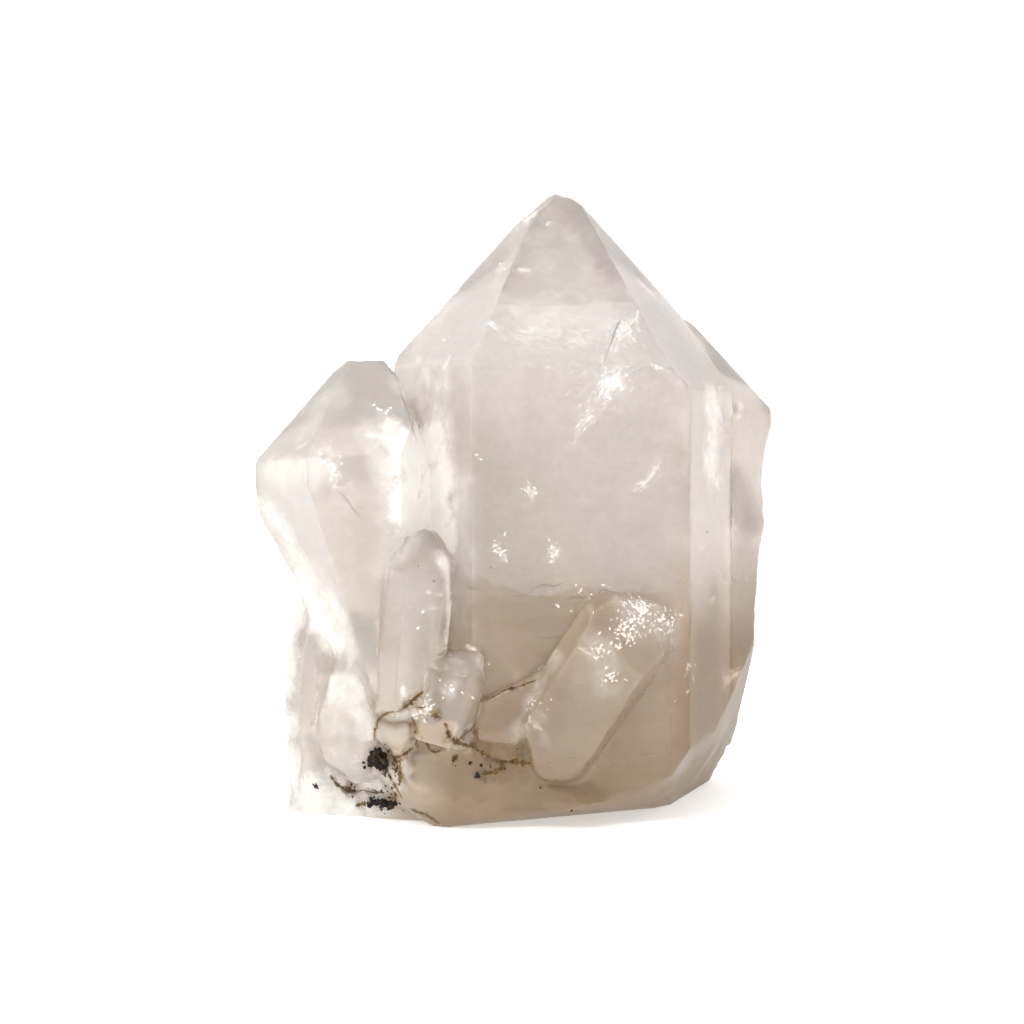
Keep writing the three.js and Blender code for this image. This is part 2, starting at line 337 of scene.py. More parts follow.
class Skin:
    """The surface of a CAD node, divided finely: points, triangles and the area of each triangle's facet.

    convex and concave are distances from each point to the nearest sharp edge of each kind."""

    def __init__(self, node, fine, coarse):
        draw = np.random.default_rng(SKIN_SEED)
        corners, facets, edges = flat_facets(node)
        self.points = [p.copy() for p in corners]
        rims = [[] for _ in facets]
        sharp_rims = [[] for _ in facets]
        samples = {"convex": [], "concave": []}
        for (start, end), bend, sides in edges:
            sharp = abs(bend) > SHARP
            a, b = corners[start], corners[end]
            count = max(1, round((b - a).length / (fine if sharp else coarse)))
            chain = [start]
            for k in range(1, count):
                chain.append(len(self.points))
                self.points.append(a.lerp(b, k / count))
            chain.append(end)
            for side in sides:
                rims[side].append(chain)
                if sharp:
                    sharp_rims[side] += chain
            if sharp:
                samples["convex" if bend > 0 else "concave"] += [self.points[k] for k in chain]
        self.triangles, self.areas = [], []
        for triangles, rim, sharp_rim in zip(facets, rims, sharp_rims):
            area, *plane = facet_plane(corners, triangles)
            self.fill(triangles, rim, sharp_rim, corners, plane, fine, coarse, area, draw)
            self.areas += [area] * (len(self.triangles) - len(self.areas))
        used = sorted({k for t in self.triangles for k in t})
        renumber = {k: n for n, k in enumerate(used)}
        self.points = np.array([self.points[k] for k in used])
        self.triangles = np.array([[renumber[k] for k in t] for t in self.triangles])
        self.areas = np.array(self.areas)
        self.convex, self.concave = (self.distance(samples[kind]) for kind in ("convex", "concave"))

    def fill(self, triangles, rim, sharp_rim, corners, plane, fine, coarse, area, draw):
        """Divides one flat facet, finely beside its sharp edges."""
        origin, u, v = plane

        def flat(point):
            return (point - origin).dot(u) / MM, (point - origin).dot(v) / MM

        inputs = sorted({k for chain in rim for k in chain})
        place = {k: n for n, k in enumerate(inputs)}
        outline = np.array([flat(self.points[k]) for k in inputs])
        links = [(place[a], place[b]) for chain in rim for a, b in zip(chain, chain[1:])]
        shape = [np.array([flat(corners[k]) for k in t]) for t in triangles]
        fill = np.zeros((0, 2))
        if area > (SMALLEST_FILLED * coarse) ** 2:
            low, high = outline.min(axis=0), outline.max(axis=0)
            dense = hexagonal_grid(low, high, fine / MM, draw)
            sharp = np.array([flat(self.points[k]) for k in sorted(set(sharp_rim))]).reshape(-1, 2)
            if len(sharp):
                gap = nearest(dense, sharp)
                dense = dense[(gap < FINE_BAND[1] * fine / MM) & (gap > FINE_BAND[0] * fine / MM)]
            else:
                dense = dense[:0]
            wide = hexagonal_grid(low, high, coarse / MM, draw)
            wide = wide[nearest(wide, sharp) > WIDE_START * fine / MM]
            wide = wide[nearest(wide, outline) > WIDE_RIM * coarse / MM]
            if len(dense):
                dense = dense[nearest(dense, outline) > FINE_RIM * fine / MM]
            fill = np.concatenate([dense, wide])
            fill = fill[inside_triangles(fill, shape)]
        coords = [Vector(c) for c in np.concatenate([outline, fill])]
        found, _, faces, origins, _, _ = delaunay_2d_cdt(coords, links, [], 0, 1e-7, True)
        spots = np.array([tuple(c) for c in found])
        names = []
        for spot, sources in zip(found, origins):
            known = [s for s in sources if s < len(inputs)]
            if known:
                names.append(inputs[known[0]])
            else:
                names.append(len(self.points))
                self.points.append(origin + u * (spot[0] * MM) + v * (spot[1] * MM))
        walls = {frozenset(pair) for chain in rim for pair in zip(chain, chain[1:])}
        named = [tuple(names[k] for k in face) for face in faces]
        middles = spots[np.array(faces)].mean(axis=1)
        within = inside_triangles(middles, shape)
        for region in walled_regions(named, walls):
            if sum(within[k] for k in region) * 2 > len(region):
                self.triangles += [named[k] for k in region]

    def distance(self, samples):
        """Distance from each point to the nearest of the samples."""
        tree = KDTree(len(samples))
        for k, sample in enumerate(samples):
            tree.insert(sample, k)
        tree.balance()
        return np.array([tree.find(p)[2] for p in self.points])

    def links(self):
        """Every pair of neighbouring points, once."""
        t = self.triangles
        pairs = np.sort(np.concatenate([t[:, [0, 1]], t[:, [1, 2]], t[:, [2, 0]]]), axis=1)
        return np.unique(pairs, axis=0)

    def average(self, values, links):
        """The mean of each point's neighbours."""
        total = np.zeros_like(values)
        count = np.zeros(len(self.points))
        for a, b in ((0, 1), (1, 0)):
            np.add.at(total, links[:, a], values[links[:, b]])
            np.add.at(count, links[:, a], 1)
        return total / count.reshape((-1,) + (1,) * (values.ndim - 1))

    def point_normals(self):
        """The outward normal at each point."""
        p, t = self.points, self.triangles
        facing = np.cross(p[t[:, 1]] - p[t[:, 0]], p[t[:, 2]] - p[t[:, 0]])
        normals = np.zeros_like(p)
        for k in range(3):
            np.add.at(normals, t[:, k], facing)
        return normals / np.maximum(np.linalg.norm(normals, axis=1, keepdims=True), 1e-20)

    def relax(self, weight, rounds, links):
        """Draws each point towards the mean of its neighbours, by its weight."""
        for _ in range(rounds):
            self.points += (self.average(self.points, links) - self.points) * weight[:, None]


def smoothstep(low, high, values):
    t = np.clip((values - low) / (high - low), 0, 1)
    return t * t * (3 - 2 * t)


ROUGHNESS, FINER = 0.9, 2.1  # how fast each finer octave of noise fades, and how much finer it is


def noise_at(points, size, octaves=3, seed=0.0):
    """Fractal noise, about -1 to 1, at each point. size is its largest feature."""
    offset = Vector((seed, seed * 1.7, -seed))
    return np.array([noise.fractal(Vector(p) / size + offset, ROUGHNESS, FINER, octaves) for p in points])


def off_path(points, path):
    """Distance from each point to a path, whose corners are in millimetres."""
    corners = np.array(path, float).reshape(-1, 3) * MM
    best = np.full(len(points), np.inf)
    for a, b in zip(corners, corners[1:] if len(corners) > 1 else corners):
        along = b - a
        share = np.clip((points - a) @ along / max(along @ along, 1e-12), 0, 1)
        best = np.minimum(best, np.linalg.norm(points - a - share[:, None] * along, axis=1))
    return best


# Fields of noise over the quartz: largest feature, octaves and seed.
ROOT_WAVE = (9 * MM, 2)
CHIPS = (2.6 * MM, 3, 3.0)
HUE_DRIFT = (22 * MM, 2, 5.0)
LEFT_WAVE = (12 * MM, 2, 8.0)
RELIEF = (6 * MM, 3, 11.0)
FINE_RELIEF = (1.6 * MM, 2, 17.0)
SWELLS = (12 * MM, 2, 23.0)
LUMPS = (4.5 * MM, 3, 31.0)
STROKE_EDGE = (5 * MM, 3, 41.0)

STROKE_CORE = 0.15  # the share of a stroke's reach that it covers whole


def painted(points, strokes, ragged=0.0):
    """How strongly the strokes cover each point. A stroke is its reach in millimetres, strength, path."""
    stray = ragged * noise_at(points, *STROKE_EDGE) if ragged else 0.0
    cover = np.zeros(len(points))
    for reach, strength, path in strokes:
        away = off_path(points, path) + stray * reach * MM
        cover = np.maximum(cover, strength * (1 - smoothstep(STROKE_CORE * reach * MM, reach * MM, away)))
    return cover


# Strokes over the quartz: reach in millimetres, strength, and a path whose corners are in millimetres.
# Where the quartz is rounded and smooth, as if it had melted.
MELTED = [
    (5.0, 0.8, [(-9.5, -29, 18), (-8, -28.5, 26)]),
    (3.0, 0.5, [(-17.6, -28, 15)]),
    (3.0, 0.8, [(-13.2, -29.5, 40), (-12.5, -29, 42)]),
    (5.0, 0.8, [(17, -27, 33), (22, -24, 31)]),
    (5.0, 0.8, [(6, -29, 12), (9, -29, 8)]),
    (9.0, 0.9, [(-33, -12, 34), (-33, -12, 4)]),
    (7.0, 0.9, [(-28, -20, 34), (-27.5, -23, 22), (-25.5, -24, 10)]),
]
# Where small crystals are lumpy instead of flat.
LUMPY = [
    (7.0, 1.0, [(18, -26, 33), (12, -29, 22), (6, -29, 10)]),
    (4.0, 0.7, [(-10.4, -30, 16), (-7.8, -29, 26)]),
    (6.0, 0.9, [(-29, -22, 28), (-27, -25, 18), (-25, -25, 9)]),
    (8.0, 0.8, [(-37, -13, 32), (-38, -12, 5)]),
    (5.0, 0.5, [(-16, -29, 36), (-15.5, -29, 22)]),
    (6.0, 0.5, [(-34, -20, 46), (-28, -24, 34)]),
]
# Where the quartz stays clear of the root's brown.
CLEARER = [
    (7.0, 0.75, [(-16, -29, 38), (-15.5, -29, 20)]),
    (5.5, 0.85, [(-10.4, -30, 16), (-7.8, -29, 26)]),
    (7.0, 0.3, [(18, -26, 32), (11, -29, 20), (8, -29, 11)]),
    (4.5, 0.6, [(-17.5, -27.5, 15), (-12, -28, 14.5)]),
    (4.5, 0.95, [(-9, -22, 52), (-8.5, -23, 38), (-8.8, -23, 28)]),
]
# Painted shade: where the large point is painted cooler and darker, as where shade falls on it.
COOL_PAINTED_SHADE = [
    (11.0, 1.0, [(-5, -24, 52), (1, -24, 44), (7, -24, 38)]),
    (6.0, 0.6, [(-2, -8, 86), (4, -4, 90)]),
    (6.0, 0.5, [(-28, -15, 66), (-32, -17, 58)]),
]
# Where it turns milkier.
MILKIER = [(14.0, 0.5, [(6, -22, 64), (14, -21.5, 60), (17, -22, 50)])]
# Where the seams are browned, partly by iron stain and partly as painted contact shade.
STAINED_AND_SHADED_SEAMS = [
    (11.0, 1.0, [(-20, -28, 14), (-10, -30, 15), (-6, -29, 11)]),
    (7.0, 0.8, [(-27, -18, 5), (-20, -22, 5)]),
    (6.0, 0.6, [(-2, -28, 10), (3, -28, 11)]),
    (6.0, 0.35, [(-14, -28, 42), (-10, -28, 34)]),
]

CRYSTAL_AREA = 14 * MM * MM  # a flat facet larger than this is a crystal's face
ROOT_FOOT, ROOT_TOP = 5 * MM, 14 * MM  # between these heights broken quartz gives way to crystal faces
LIFT = 0.05 * MM, 2 * MM  # wear grows from nothing to whole between these heights over the resting face
SWELL = 0.05 * MM  # height of the wide waves in the crystals' faces
ROOT_SWAY, HUE_SWAY, LEFT_SWAY = 4 * MM, 5 * MM, 3 * MM  # how far noise moves the edges of the masks
COARSE_SHARE, FINE_SHARE = 0.7, 0.3  # of the two noises in broken relief
MELTED_CALM = 0.75  # how much of the relief is gone where the quartz is melted
CHIP_FLOOR = 0.15  # how much of the chips' noise leaves the edge whole
# Chips reach from convex edges; the seams' brown of iron stain and painted contact shade reaches from
# concave ones.
CHIP_REACH, SEAM_REACH = 0.8 * MM, 0.7 * MM  # how far chips and rust reach from an edge
# How strongly, and how many times, the points of each kind are drawn smooth.
SOFT_BROKEN, SOFT_EDGE, SOFT_MELTED = (0.55, 14), (0.3, 2), (0.6, 24)

# Where the brown of the root rises: its share and the heights between which it fades.
BROWN_RISES = [(0.42, 57 * MM, 72 * MM), (0.58, 3 * MM, 40 * MM)]
BROWN_RIGHT, RIGHT_SIDE, RIGHT_FADES = 0.35, (21 * MM, 30 * MM), (34 * MM, 46 * MM)
BROWN_STARTS = -25 * MM, -10 * MM  # left of these places the quartz stays free of brown
# Where the painted shade on the low right lies: the places and heights between which it fades.
PAINTED_SHADE_SIDE, PAINTED_SHADE_FADES = (20 * MM, 28 * MM), (26 * MM, 42 * MM)
MILKY_LEFT = -21 * MM, -9 * MM  # the milky left side ends between these places


def broken_mask(skin, links):
    """1 on small facets and low on the root, 0 on the large faces of the crystals."""
    small = np.zeros(len(skin.points))
    count = np.zeros(len(skin.points))
    for k in range(3):
        np.add.at(small, skin.triangles[:, k], skin.areas < CRYSTAL_AREA)
        np.add.at(count, skin.triangles[:, k], 1)
    height = skin.points[:, 2] + ROOT_SWAY * noise_at(skin.points, *ROOT_WAVE)
    broken = np.maximum(small / count, 1 - smoothstep(ROOT_FOOT, ROOT_TOP, height))
    for _ in range(3):
        broken = (broken + skin.average(broken, links)) / 2
    return broken


def wear_down(skin, look, links):
    """Rounds the edges, smooths the melted places, and raises relief, lumps and chips."""
    broken = skin.broken
    lifted = smoothstep(*LIFT, skin.points[:, 2])
    edge = np.exp(-((skin.convex / look.edge_round) ** 2))

    def soften(mask, weight, rounds):
        skin.relax(weight * mask * lifted, rounds, links)

    soften(broken, *SOFT_BROKEN)
    soften(np.maximum(edge, broken), *SOFT_EDGE)
    melted = painted(skin.points, MELTED)
    soften(melted, *SOFT_MELTED)
    normals = skin.point_normals()
    chips = noise_at(skin.points, *CHIPS) - CHIP_FLOOR
    relief = COARSE_SHARE * noise_at(skin.points, *RELIEF)
    relief = relief + FINE_SHARE * noise_at(skin.points, *FINE_RELIEF)
    swell = SWELL * noise_at(skin.points, *SWELLS)
    shift = look.break_relief * relief * broken * (1 - MELTED_CALM * melted) + swell * (1 - broken)
    shift += look.lump * noise_at(skin.points, *LUMPS) * painted(skin.points, LUMPY)
    shift -= look.nick * np.clip(chips, 0, 1) * np.exp(-((skin.convex / CHIP_REACH) ** 2))
    skin.points += normals * (shift * lifted)[:, None]
    skin.points[:, 2] = np.maximum(skin.points[:, 2], CAD_LOW.z)


def tint_masks(skin):
    """Masks: iron brown, seams of iron stain and painted contact shade, milky left, painted shade low right
    and in patches.
    """
    x, _, z = skin.points.T
    drift = z + HUE_SWAY * noise_at(skin.points, *HUE_DRIFT)
    rise = sum(share * (1 - smoothstep(low, high, drift)) for share, low, high in BROWN_RISES)
    right = smoothstep(*RIGHT_SIDE, x) * (1 - smoothstep(*RIGHT_FADES, drift))
    aside = smoothstep(*BROWN_STARTS, x)
    left = 1 - smoothstep(*MILKY_LEFT, x + LEFT_SWAY * noise_at(skin.points, *LEFT_WAVE))
    return {
        "broken": skin.broken,
        "iron": (rise + BROWN_RIGHT * right) * aside * (1 - painted(skin.points, CLEARER, 0.1)),
        "pale": np.maximum(left, painted(skin.points, MILKIER, 0.3)),
        # Browned seams: iron stain and painted contact shade near the concave edges.
        "seam_stain_and_shade": np.exp(-((skin.concave / SEAM_REACH) ** 2)) * painted(skin.points, STAINED_AND_SHADED_SEAMS, 0.3),
        "low_right_painted_shade": smoothstep(*PAINTED_SHADE_SIDE, x) * (1 - smoothstep(*PAINTED_SHADE_FADES, drift)),
        "painted_cool_shade": painted(skin.points, COOL_PAINTED_SHADE, 0.5),
    }


# --- shader nodes ----------------------------------------------------------------------------------------


FILL, FADE = (0.0, 1.0), (1.0, 0.0)  # the two ways that a ramp runs


class Nodes:
    """Adds nodes to a tree and joins them up. A plain number or colour is set on the socket itself."""

    def __init__(self, tree):
        self.tree = tree

    def add(self, kind, inputs=(), **settings):
        made = self.tree.nodes.new("ShaderNode" + kind)
        for name, value in settings.items():
            setattr(made, name, value)
        for name, value in dict(inputs).items():
            self.feed(made.inputs[name], value)
        return made

    def feed(self, socket, value):
        if isinstance(value, bpy.types.NodeSocket):
            self.tree.links.new(value, socket)
        elif hasattr(value, "__len__") and len(value) == 3 and socket.type == "RGBA":
            socket.default_value = (*value, 1)
        else:
            socket.default_value = value

    def math(self, operation, a, b=0.0, clamp=False):
        made = self.add("Math", operation=operation, use_clamp=clamp)
        self.feed(made.inputs[0], a)
        self.feed(made.inputs[1], b)
        return made.outputs[0]

    def product(self, *factors):
        made = factors[0]
        for factor in factors[1:]:
            made = self.math("MULTIPLY", made, factor)
        return made

    def mix(self, share, a, b, blend="MIX"):
        made = self.add("Mix", data_type="RGBA", blend_type=blend)
        self.feed(made.inputs["Factor"], share)
        self.feed(made.inputs["A"], a)
        self.feed(made.inputs["B"], b)
        return made.outputs["Result"]

    def noise(self, vector, scale, detail=3.0, roughness=0.5):
        inputs = {"Vector": vector, "Scale": scale, "Detail": detail, "Roughness": roughness}
        return self.add("TexNoise", inputs).outputs["Fac"]

    def wave(self, vector, scale, height, detail, roughness=0.5):
        """Noise that swings about 0. height is from its lowest to its highest."""
        swing = self.math("SUBTRACT", self.noise(vector, scale, detail, roughness), 0.5)
        return self.math("MULTIPLY", swing, height)

    def ramp(self, value, low, high, to=FILL):
        inputs = {"Value": value, "From Min": low, "From Max": high, "To Min": to[0], "To Max": to[1]}
        return self.add("MapRange", inputs, interpolation_type="SMOOTHSTEP").outputs["Result"]

    def patches(self, vector, scale, low, high, detail, roughness=0.5, to=FILL):
        """Noise spread so that it is empty under low and whole over high."""
        return self.ramp(self.noise(vector, scale, detail, roughness), low, high, to)

    def attribute(self, name):
        return self.add("Attribute", attribute_name=name).outputs["Fac"]

    def place(self):
        return self.add("TexCoord").outputs["Object"]

    def bump(self, height, distance, strength=1.0):
        return self.add("Bump", {"Height": height, "Distance": distance, "Strength": strength}).outputs[0]


def new_material(name):
    """An empty material: its nodes and its Principled shader."""
    material = bpy.data.materials.new(name)
    material.use_nodes = True
    nodes = Nodes(material.node_tree)
    return material, nodes, material.node_tree.nodes["Principled BSDF"]


def shade(shader, nodes, **values):
    """Sets or joins the shader's sockets, named with _ for a space."""
    for name, value in values.items():
        nodes.feed(shader.inputs[name.replace("_", " ")], value)


# Noise in the quartz. Scales are features a metre, and a stretched noise has one for each axis.
TINT_WAVE, PHANTOM_WAVE = 60.0, 85.0
WIDE_PATCHES, MOTTLE, ROUGH_PATCHES = 42.0, 110.0, 120.0
BLOTCHES, CRUMPLE, CLOUDS, GRAIN = 420.0, 420.0, 600.0, 900.0
LAYERS, STRIAE = (55.0, 55.0, 420.0), (90.0, 90.0, 2400.0)

CREAM_RISE = 20 * MM, 60 * MM  # the low left tint gives way to the left tint between these heights
PHANTOM_EDGE = 0.4 * MM, 0.3 * MM  # how far the older growth's top fades below and above its height
PHANTOM_ENDS = 12 * MM, 26 * MM  # the older growth fades out to the right between these places
FRONT = -0.68, -0.52  # how far the normal of a front face turns towards -Y
MOTTLE_TINT, LAYER_TINT = (0.86, 0.87, 0.85), (0.84, 0.80, 0.74)
BAND_SHARE, LAYER_SHARE, MOTTLE_SHARE = 0.55, 0.35, 0.5
# The painted strokes in the greenish tint are painted shade, darker and greener.
PATCH_SHARE, PAINTED_SHADE_SHARE = 0.4, 0.6  # of the wide patches and of the painted ones in the greenish tint
MILK, MILK_REACH = 0.7, (6 * MM, 5 * MM, 4 * MM)  # light scattered under the surface, and how far it goes
POLISH, POLISH_ROUGH = 0.6, 0.04  # the natural polish of the crystals' faces
FACE_ROUGH, DULL_ROUGHER = (0.19, 0.28), 0.15  # roughness of the faces, and what broken quartz adds
SURFACE_RELIEF = 0.08 * MM


def growth_tint(nodes, look, place):
    """The quartz's colour by where it is: brown root, milky left, the older growth, painted shade on the low
    right, and the paler band.
    """
    x, y, z = nodes.add("SeparateXYZ", {"Vector": place}).outputs
    iron, low_right_painted_shade = nodes.attribute("iron"), nodes.attribute("low_right_painted_shade")
    tint = nodes.mix(iron, look.body, look.root)
    cream = nodes.mix(nodes.ramp(z, *CREAM_RISE), look.pale_low, look.pale)
    tint = nodes.mix(nodes.attribute("pale"), tint, cream)
    across = nodes.add("CombineXYZ", {"X": x, "Y": y}).outputs[0]
    wavy = nodes.math("ADD", z, nodes.wave(across, PHANTOM_WAVE, 12 * MM, 3.0))
    below, above = PHANTOM_EDGE
    older = nodes.product(
        nodes.ramp(wavy, look.phantom - below, look.phantom + above, FADE),
        nodes.ramp(x, *PHANTOM_ENDS, FADE),
        nodes.ramp(iron, 0.1, 0.35),
    )
    tint = nodes.mix(older, tint, look.phantom_tint, "MULTIPLY")
    # Painted shade on the low right side.
    tint = nodes.mix(low_right_painted_shade, tint, look.low_right_painted_shade, "MULTIPLY")
    level = nodes.math("ADD", z, nodes.wave(place, TINT_WAVE, 3 * MM, 2.0))
    facing = nodes.add("SeparateXYZ", {"Vector": nodes.add("NewGeometry").outputs["Normal"]})
    front = nodes.ramp(facing.outputs[1], *FRONT, FADE)
    under_top = nodes.ramp(level, look.band_top - 0.2 * MM, look.band_top + 0.2 * MM, FADE)
    band = nodes.product(
        nodes.ramp(level, look.band_foot - 0.3 * MM, look.band_foot + 0.8 * MM),
        under_top,
        front,
        BAND_SHARE,
    )
    tint = nodes.mix(band, tint, look.band)
    over = nodes.product(nodes.math("SUBTRACT", 1.0, under_top), front)
    return nodes.mix(over, tint, look.above_band, "MULTIPLY")


def clouded_tint(nodes, look, place, tint):
    """Varies the colour with wide patches and painted shade, mottling, fine clouds, brown layers and seams
    of iron stain and painted shade.
    """
    wide = nodes.product(nodes.patches(place, WIDE_PATCHES, 0.40, 0.62, 4.0, 0.6), PATCH_SHARE)
    # Painted shade: the cooler, darker patches join the greenish tint.
    wide = nodes.math("ADD", wide, nodes.product(nodes.attribute("painted_cool_shade"), PAINTED_SHADE_SHARE))
    tint = nodes.mix(1.0, tint, nodes.mix(wide, look.rosy, look.greenish), "MULTIPLY")
    tint = nodes.mix(nodes.patches(place, CLOUDS, 0.4, 0.6, 5.0, 0.7), tint, look.clouding, "MULTIPLY")
    mottle = nodes.product(nodes.patches(place, MOTTLE, 0.35, 0.68, 5.0, 0.62), MOTTLE_SHARE)
    tint = nodes.mix(mottle, tint, MOTTLE_TINT, "MULTIPLY")
    flattened = nodes.add("Mapping", {"Vector": place, "Scale": LAYERS}).outputs[0]
    layers = nodes.patches(flattened, 1.0, 0.38, 0.66, 4.0, 0.6)
    layers = nodes.product(layers, nodes.attribute("iron"), LAYER_SHARE)
    tint = nodes.mix(layers, tint, LAYER_TINT, "MULTIPLY")
    # Brown in the concave seams, broken into blotches: iron stain and painted contact shade.
    blotch = nodes.patches(place, BLOTCHES, 0.3, 0.62, 4.0, 0.65)
    seam_stain_and_shade = nodes.math("MULTIPLY", nodes.attribute("seam_stain_and_shade"), blotch, clamp=True)
    return nodes.mix(seam_stain_and_shade, tint, look.seam_stain_and_shade)


def quartz_material(look):
    material, nodes, shader = new_material("Clear Quartz")
    place = nodes.place()
    tint = clouded_tint(nodes, look, place, growth_tint(nodes, look, place))
    broken = nodes.attribute("broken")
    # The painted shade on the low right is also duller, as broken quartz is.
    dull = nodes.math("MAXIMUM", broken, nodes.attribute("low_right_painted_shade"))
    rough = nodes.patches(place, ROUGH_PATCHES, 0.0, 1.0, 3.0, to=FACE_ROUGH)
    stretched = nodes.add("Mapping", {"Vector": place, "Scale": STRIAE}).outputs[0]
    striae = nodes.product(nodes.noise(stretched, 1.0, 2.0), 0.35)
    grain = nodes.product(nodes.noise(place, GRAIN, 3.0, 0.6), 0.25)
    crumple = nodes.noise(place, CRUMPLE, 4.0, 0.6)
    height = nodes.mix(broken, nodes.math("ADD", striae, grain), crumple)
    shade(
        shader,
        nodes,
        Base_Color=tint,
        Roughness=nodes.math("ADD", rough, nodes.product(dull, DULL_ROUGHER)),
        IOR=look.ior,
        Transmission_Weight=look.clear,
        Subsurface_Weight=MILK,
        Subsurface_Radius=MILK_REACH,
        Subsurface_Scale=1.0,
        Coat_Weight=nodes.product(nodes.math("SUBTRACT", 1.0, dull), POLISH),
        Coat_Roughness=POLISH_ROUGH,
        Normal=nodes.bump(height, SURFACE_RELIEF, 0.6),
    )
    depth = nodes.add("VolumeAbsorption", {"Color": look.absorb, "Density": look.density})
    output = material.node_tree.nodes["Material Output"]
    material.node_tree.links.new(depth.outputs[0], output.inputs["Volume"])
    return material


# --- operators -------------------------------------------------------------------------------------------


def finish_piece(piece, material):
    """Gives a piece its material and makes it part of the cluster."""
    piece.data.materials.append(material)
    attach(piece, "root")
    return piece


class QUARTZ_OT_cluster(bpy.types.Operator):
    """Grow the quartz over its CAD solid, with worn edges and a broken root"""

    bl_idname = "quartz.grow_cluster"
    bl_label = "Grow Quartz"

    def execute(self, context):
        look = context.scene.quartz_look
        skin = Skin("quartz_cluster", look.fine, look.coarse)
        links = skin.links()
        skin.broken = broken_mask(skin, links)
        wear_down(skin, look, links)
        piece = new_object("quartz", skin.points, skin.triangles)
        for name, mask in tint_masks(skin).items():
            set_attribute(piece, name, mask)
        finish_piece(piece, quartz_material(look))
        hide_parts("quartz_cluster")
        return {"FINISHED"}


AIM = Vector((-1.06, -2.28, 45.4)) * MM  # what the camera aims at
SENSOR = 36.0  # width in millimetres
FLOOR_SIZE = 6.0
FLOOR_DROP = 0.02 * MM  # keeps the floor clear of the resting face
FLOOR_GLOW = 0.45
BACKDROP = 1.05  # strength of the white that the camera sees
STUDIO_TINT = (1.0, 0.99, 0.975)
# What else lights the crystal, by direction: the directions where each change starts and ends, and the
# strength at the start and the end. The top and the left side add to the front and the back.
FRONT_TO_BACK = -0.75, 0.35, (0.665, 0.80)
TO_THE_TOP = 0.25, 0.95, (0.0, 0.2)
TO_THE_LEFT = 0.2, -0.9, (0.0, 0.2)
# Lamps: name, place, size, power in watts and whether they show in reflections.
LAMPS = [
    ("key", (-0.35, -0.5, 0.6), 0.25, 2.2, True),
    ("back", (0.35, 0.7, 0.5), 0.6, 2.0, False),
]
# How often light bounces before it is dropped, and the brightest that one path may add.
LIGHT_PATHS = {
    "max_bounces": 9,
    "transmission_bounces": 9,
    "glossy_bounces": 3,
    "diffuse_bounces": 2,
    "transparent_max_bounces": 16,
    "sample_clamp_indirect": 6.0,
}


def area_light(name, place, size, power, glossy):
    """A soft round lamp that faces the cluster."""
    light = bpy.data.lights.new(name, "AREA")
    light.shape, light.size, light.energy = "DISK", size, power
    lamp = bpy.data.objects.new(name, light)
    lamp.location = place
    lamp.rotation_euler = (Vector(place) - AIM).to_track_quat("Z", "Y").to_euler()
    lamp.visible_transmission = False
    lamp.visible_glossy = glossy
    bpy.context.scene.collection.objects.link(lamp)


def sky(scene):
    """White to the camera, and a soft studio to everything else: dim in front, bright above and behind."""
    world = bpy.data.worlds.new("Studio")
    world.use_nodes = True
    scene.world = world
    nodes = Nodes(world.node_tree)
    towards = nodes.add("TexCoord").outputs["Generated"]
    x, y, z = nodes.add("SeparateXYZ", {"Vector": towards}).outputs
    depth = nodes.ramp(y, *FRONT_TO_BACK)
    above = nodes.ramp(z, *TO_THE_TOP)
    left = nodes.ramp(x, *TO_THE_LEFT)
    studio = nodes.math("ADD", nodes.math("ADD", depth, above), left)
    camera = nodes.add("LightPath").outputs["Is Camera Ray"]
    strength = nodes.add("Mix", {"Factor": camera})
    nodes.feed(strength.inputs["A"], studio)
    nodes.feed(strength.inputs["B"], BACKDROP)
    background = world.node_tree.nodes["Background"]
    nodes.feed(background.inputs["Color"], STUDIO_TINT)
    nodes.feed(background.inputs["Strength"], strength.outputs["Result"])


def floor_material(look):
    material, nodes, shader = new_material("Studio Floor")
    shade(shader, nodes, Base_Color=look.floor, Roughness=0.7, Specular_IOR_Level=0.2)
    shade(shader, nodes, Emission_Color=look.floor, Emission_Strength=FLOOR_GLOW)
    return material


class Grown:
    """The quartz once it is grown: its points, triangles, outward normals and the nearest spot on it."""

    def __init__(self):
        mesh = bpy.data.objects["quartz"].data
        self.mesh = mesh
        self.points = self.read(mesh.vertices, "co", float).reshape(-1, 3)
        self.normals = self.read(mesh.vertices, "normal", float).reshape(-1, 3)
        self.triangles = self.read(mesh.loops, "vertex_index", int).reshape(-1, 3)
        self.tree = BVHTree.FromPolygons(self.points.tolist(), self.triangles.tolist())

    @staticmethod
    def read(source, name, kind):
        values = np.zeros(len(source) * (3 if kind is float else 1), dtype=kind)
        source.foreach_get(name, values)
        return values

    def attribute(self, name):
        values = np.zeros(len(self.points), dtype=np.float32)
        self.mesh.attributes[name].data.foreach_get("value", values)
        return values

    def spot(self, place):
        """The nearest spot on the quartz and its outward normal."""
        return self.tree.find_nearest(Vector(place))[:2]


class Heap:
    """Gathers small shapes that become one piece. Every point carries a core value for its material."""

    def __init__(self):
        self.points, self.faces, self.core = [], [], []

    def add(self, points, faces, core):
        start = len(self.points)
        self.points += [Vector(p) for p in points]
        self.faces += [[k + start for k in face] for face in faces]
        self.core += list(core)

    def piece(self, name, material, slot, smooth=True):
        made = new_object(name, self.points, self.faces, smooth)
        set_attribute(made, "core", self.core)
        return finish_piece(made, material)


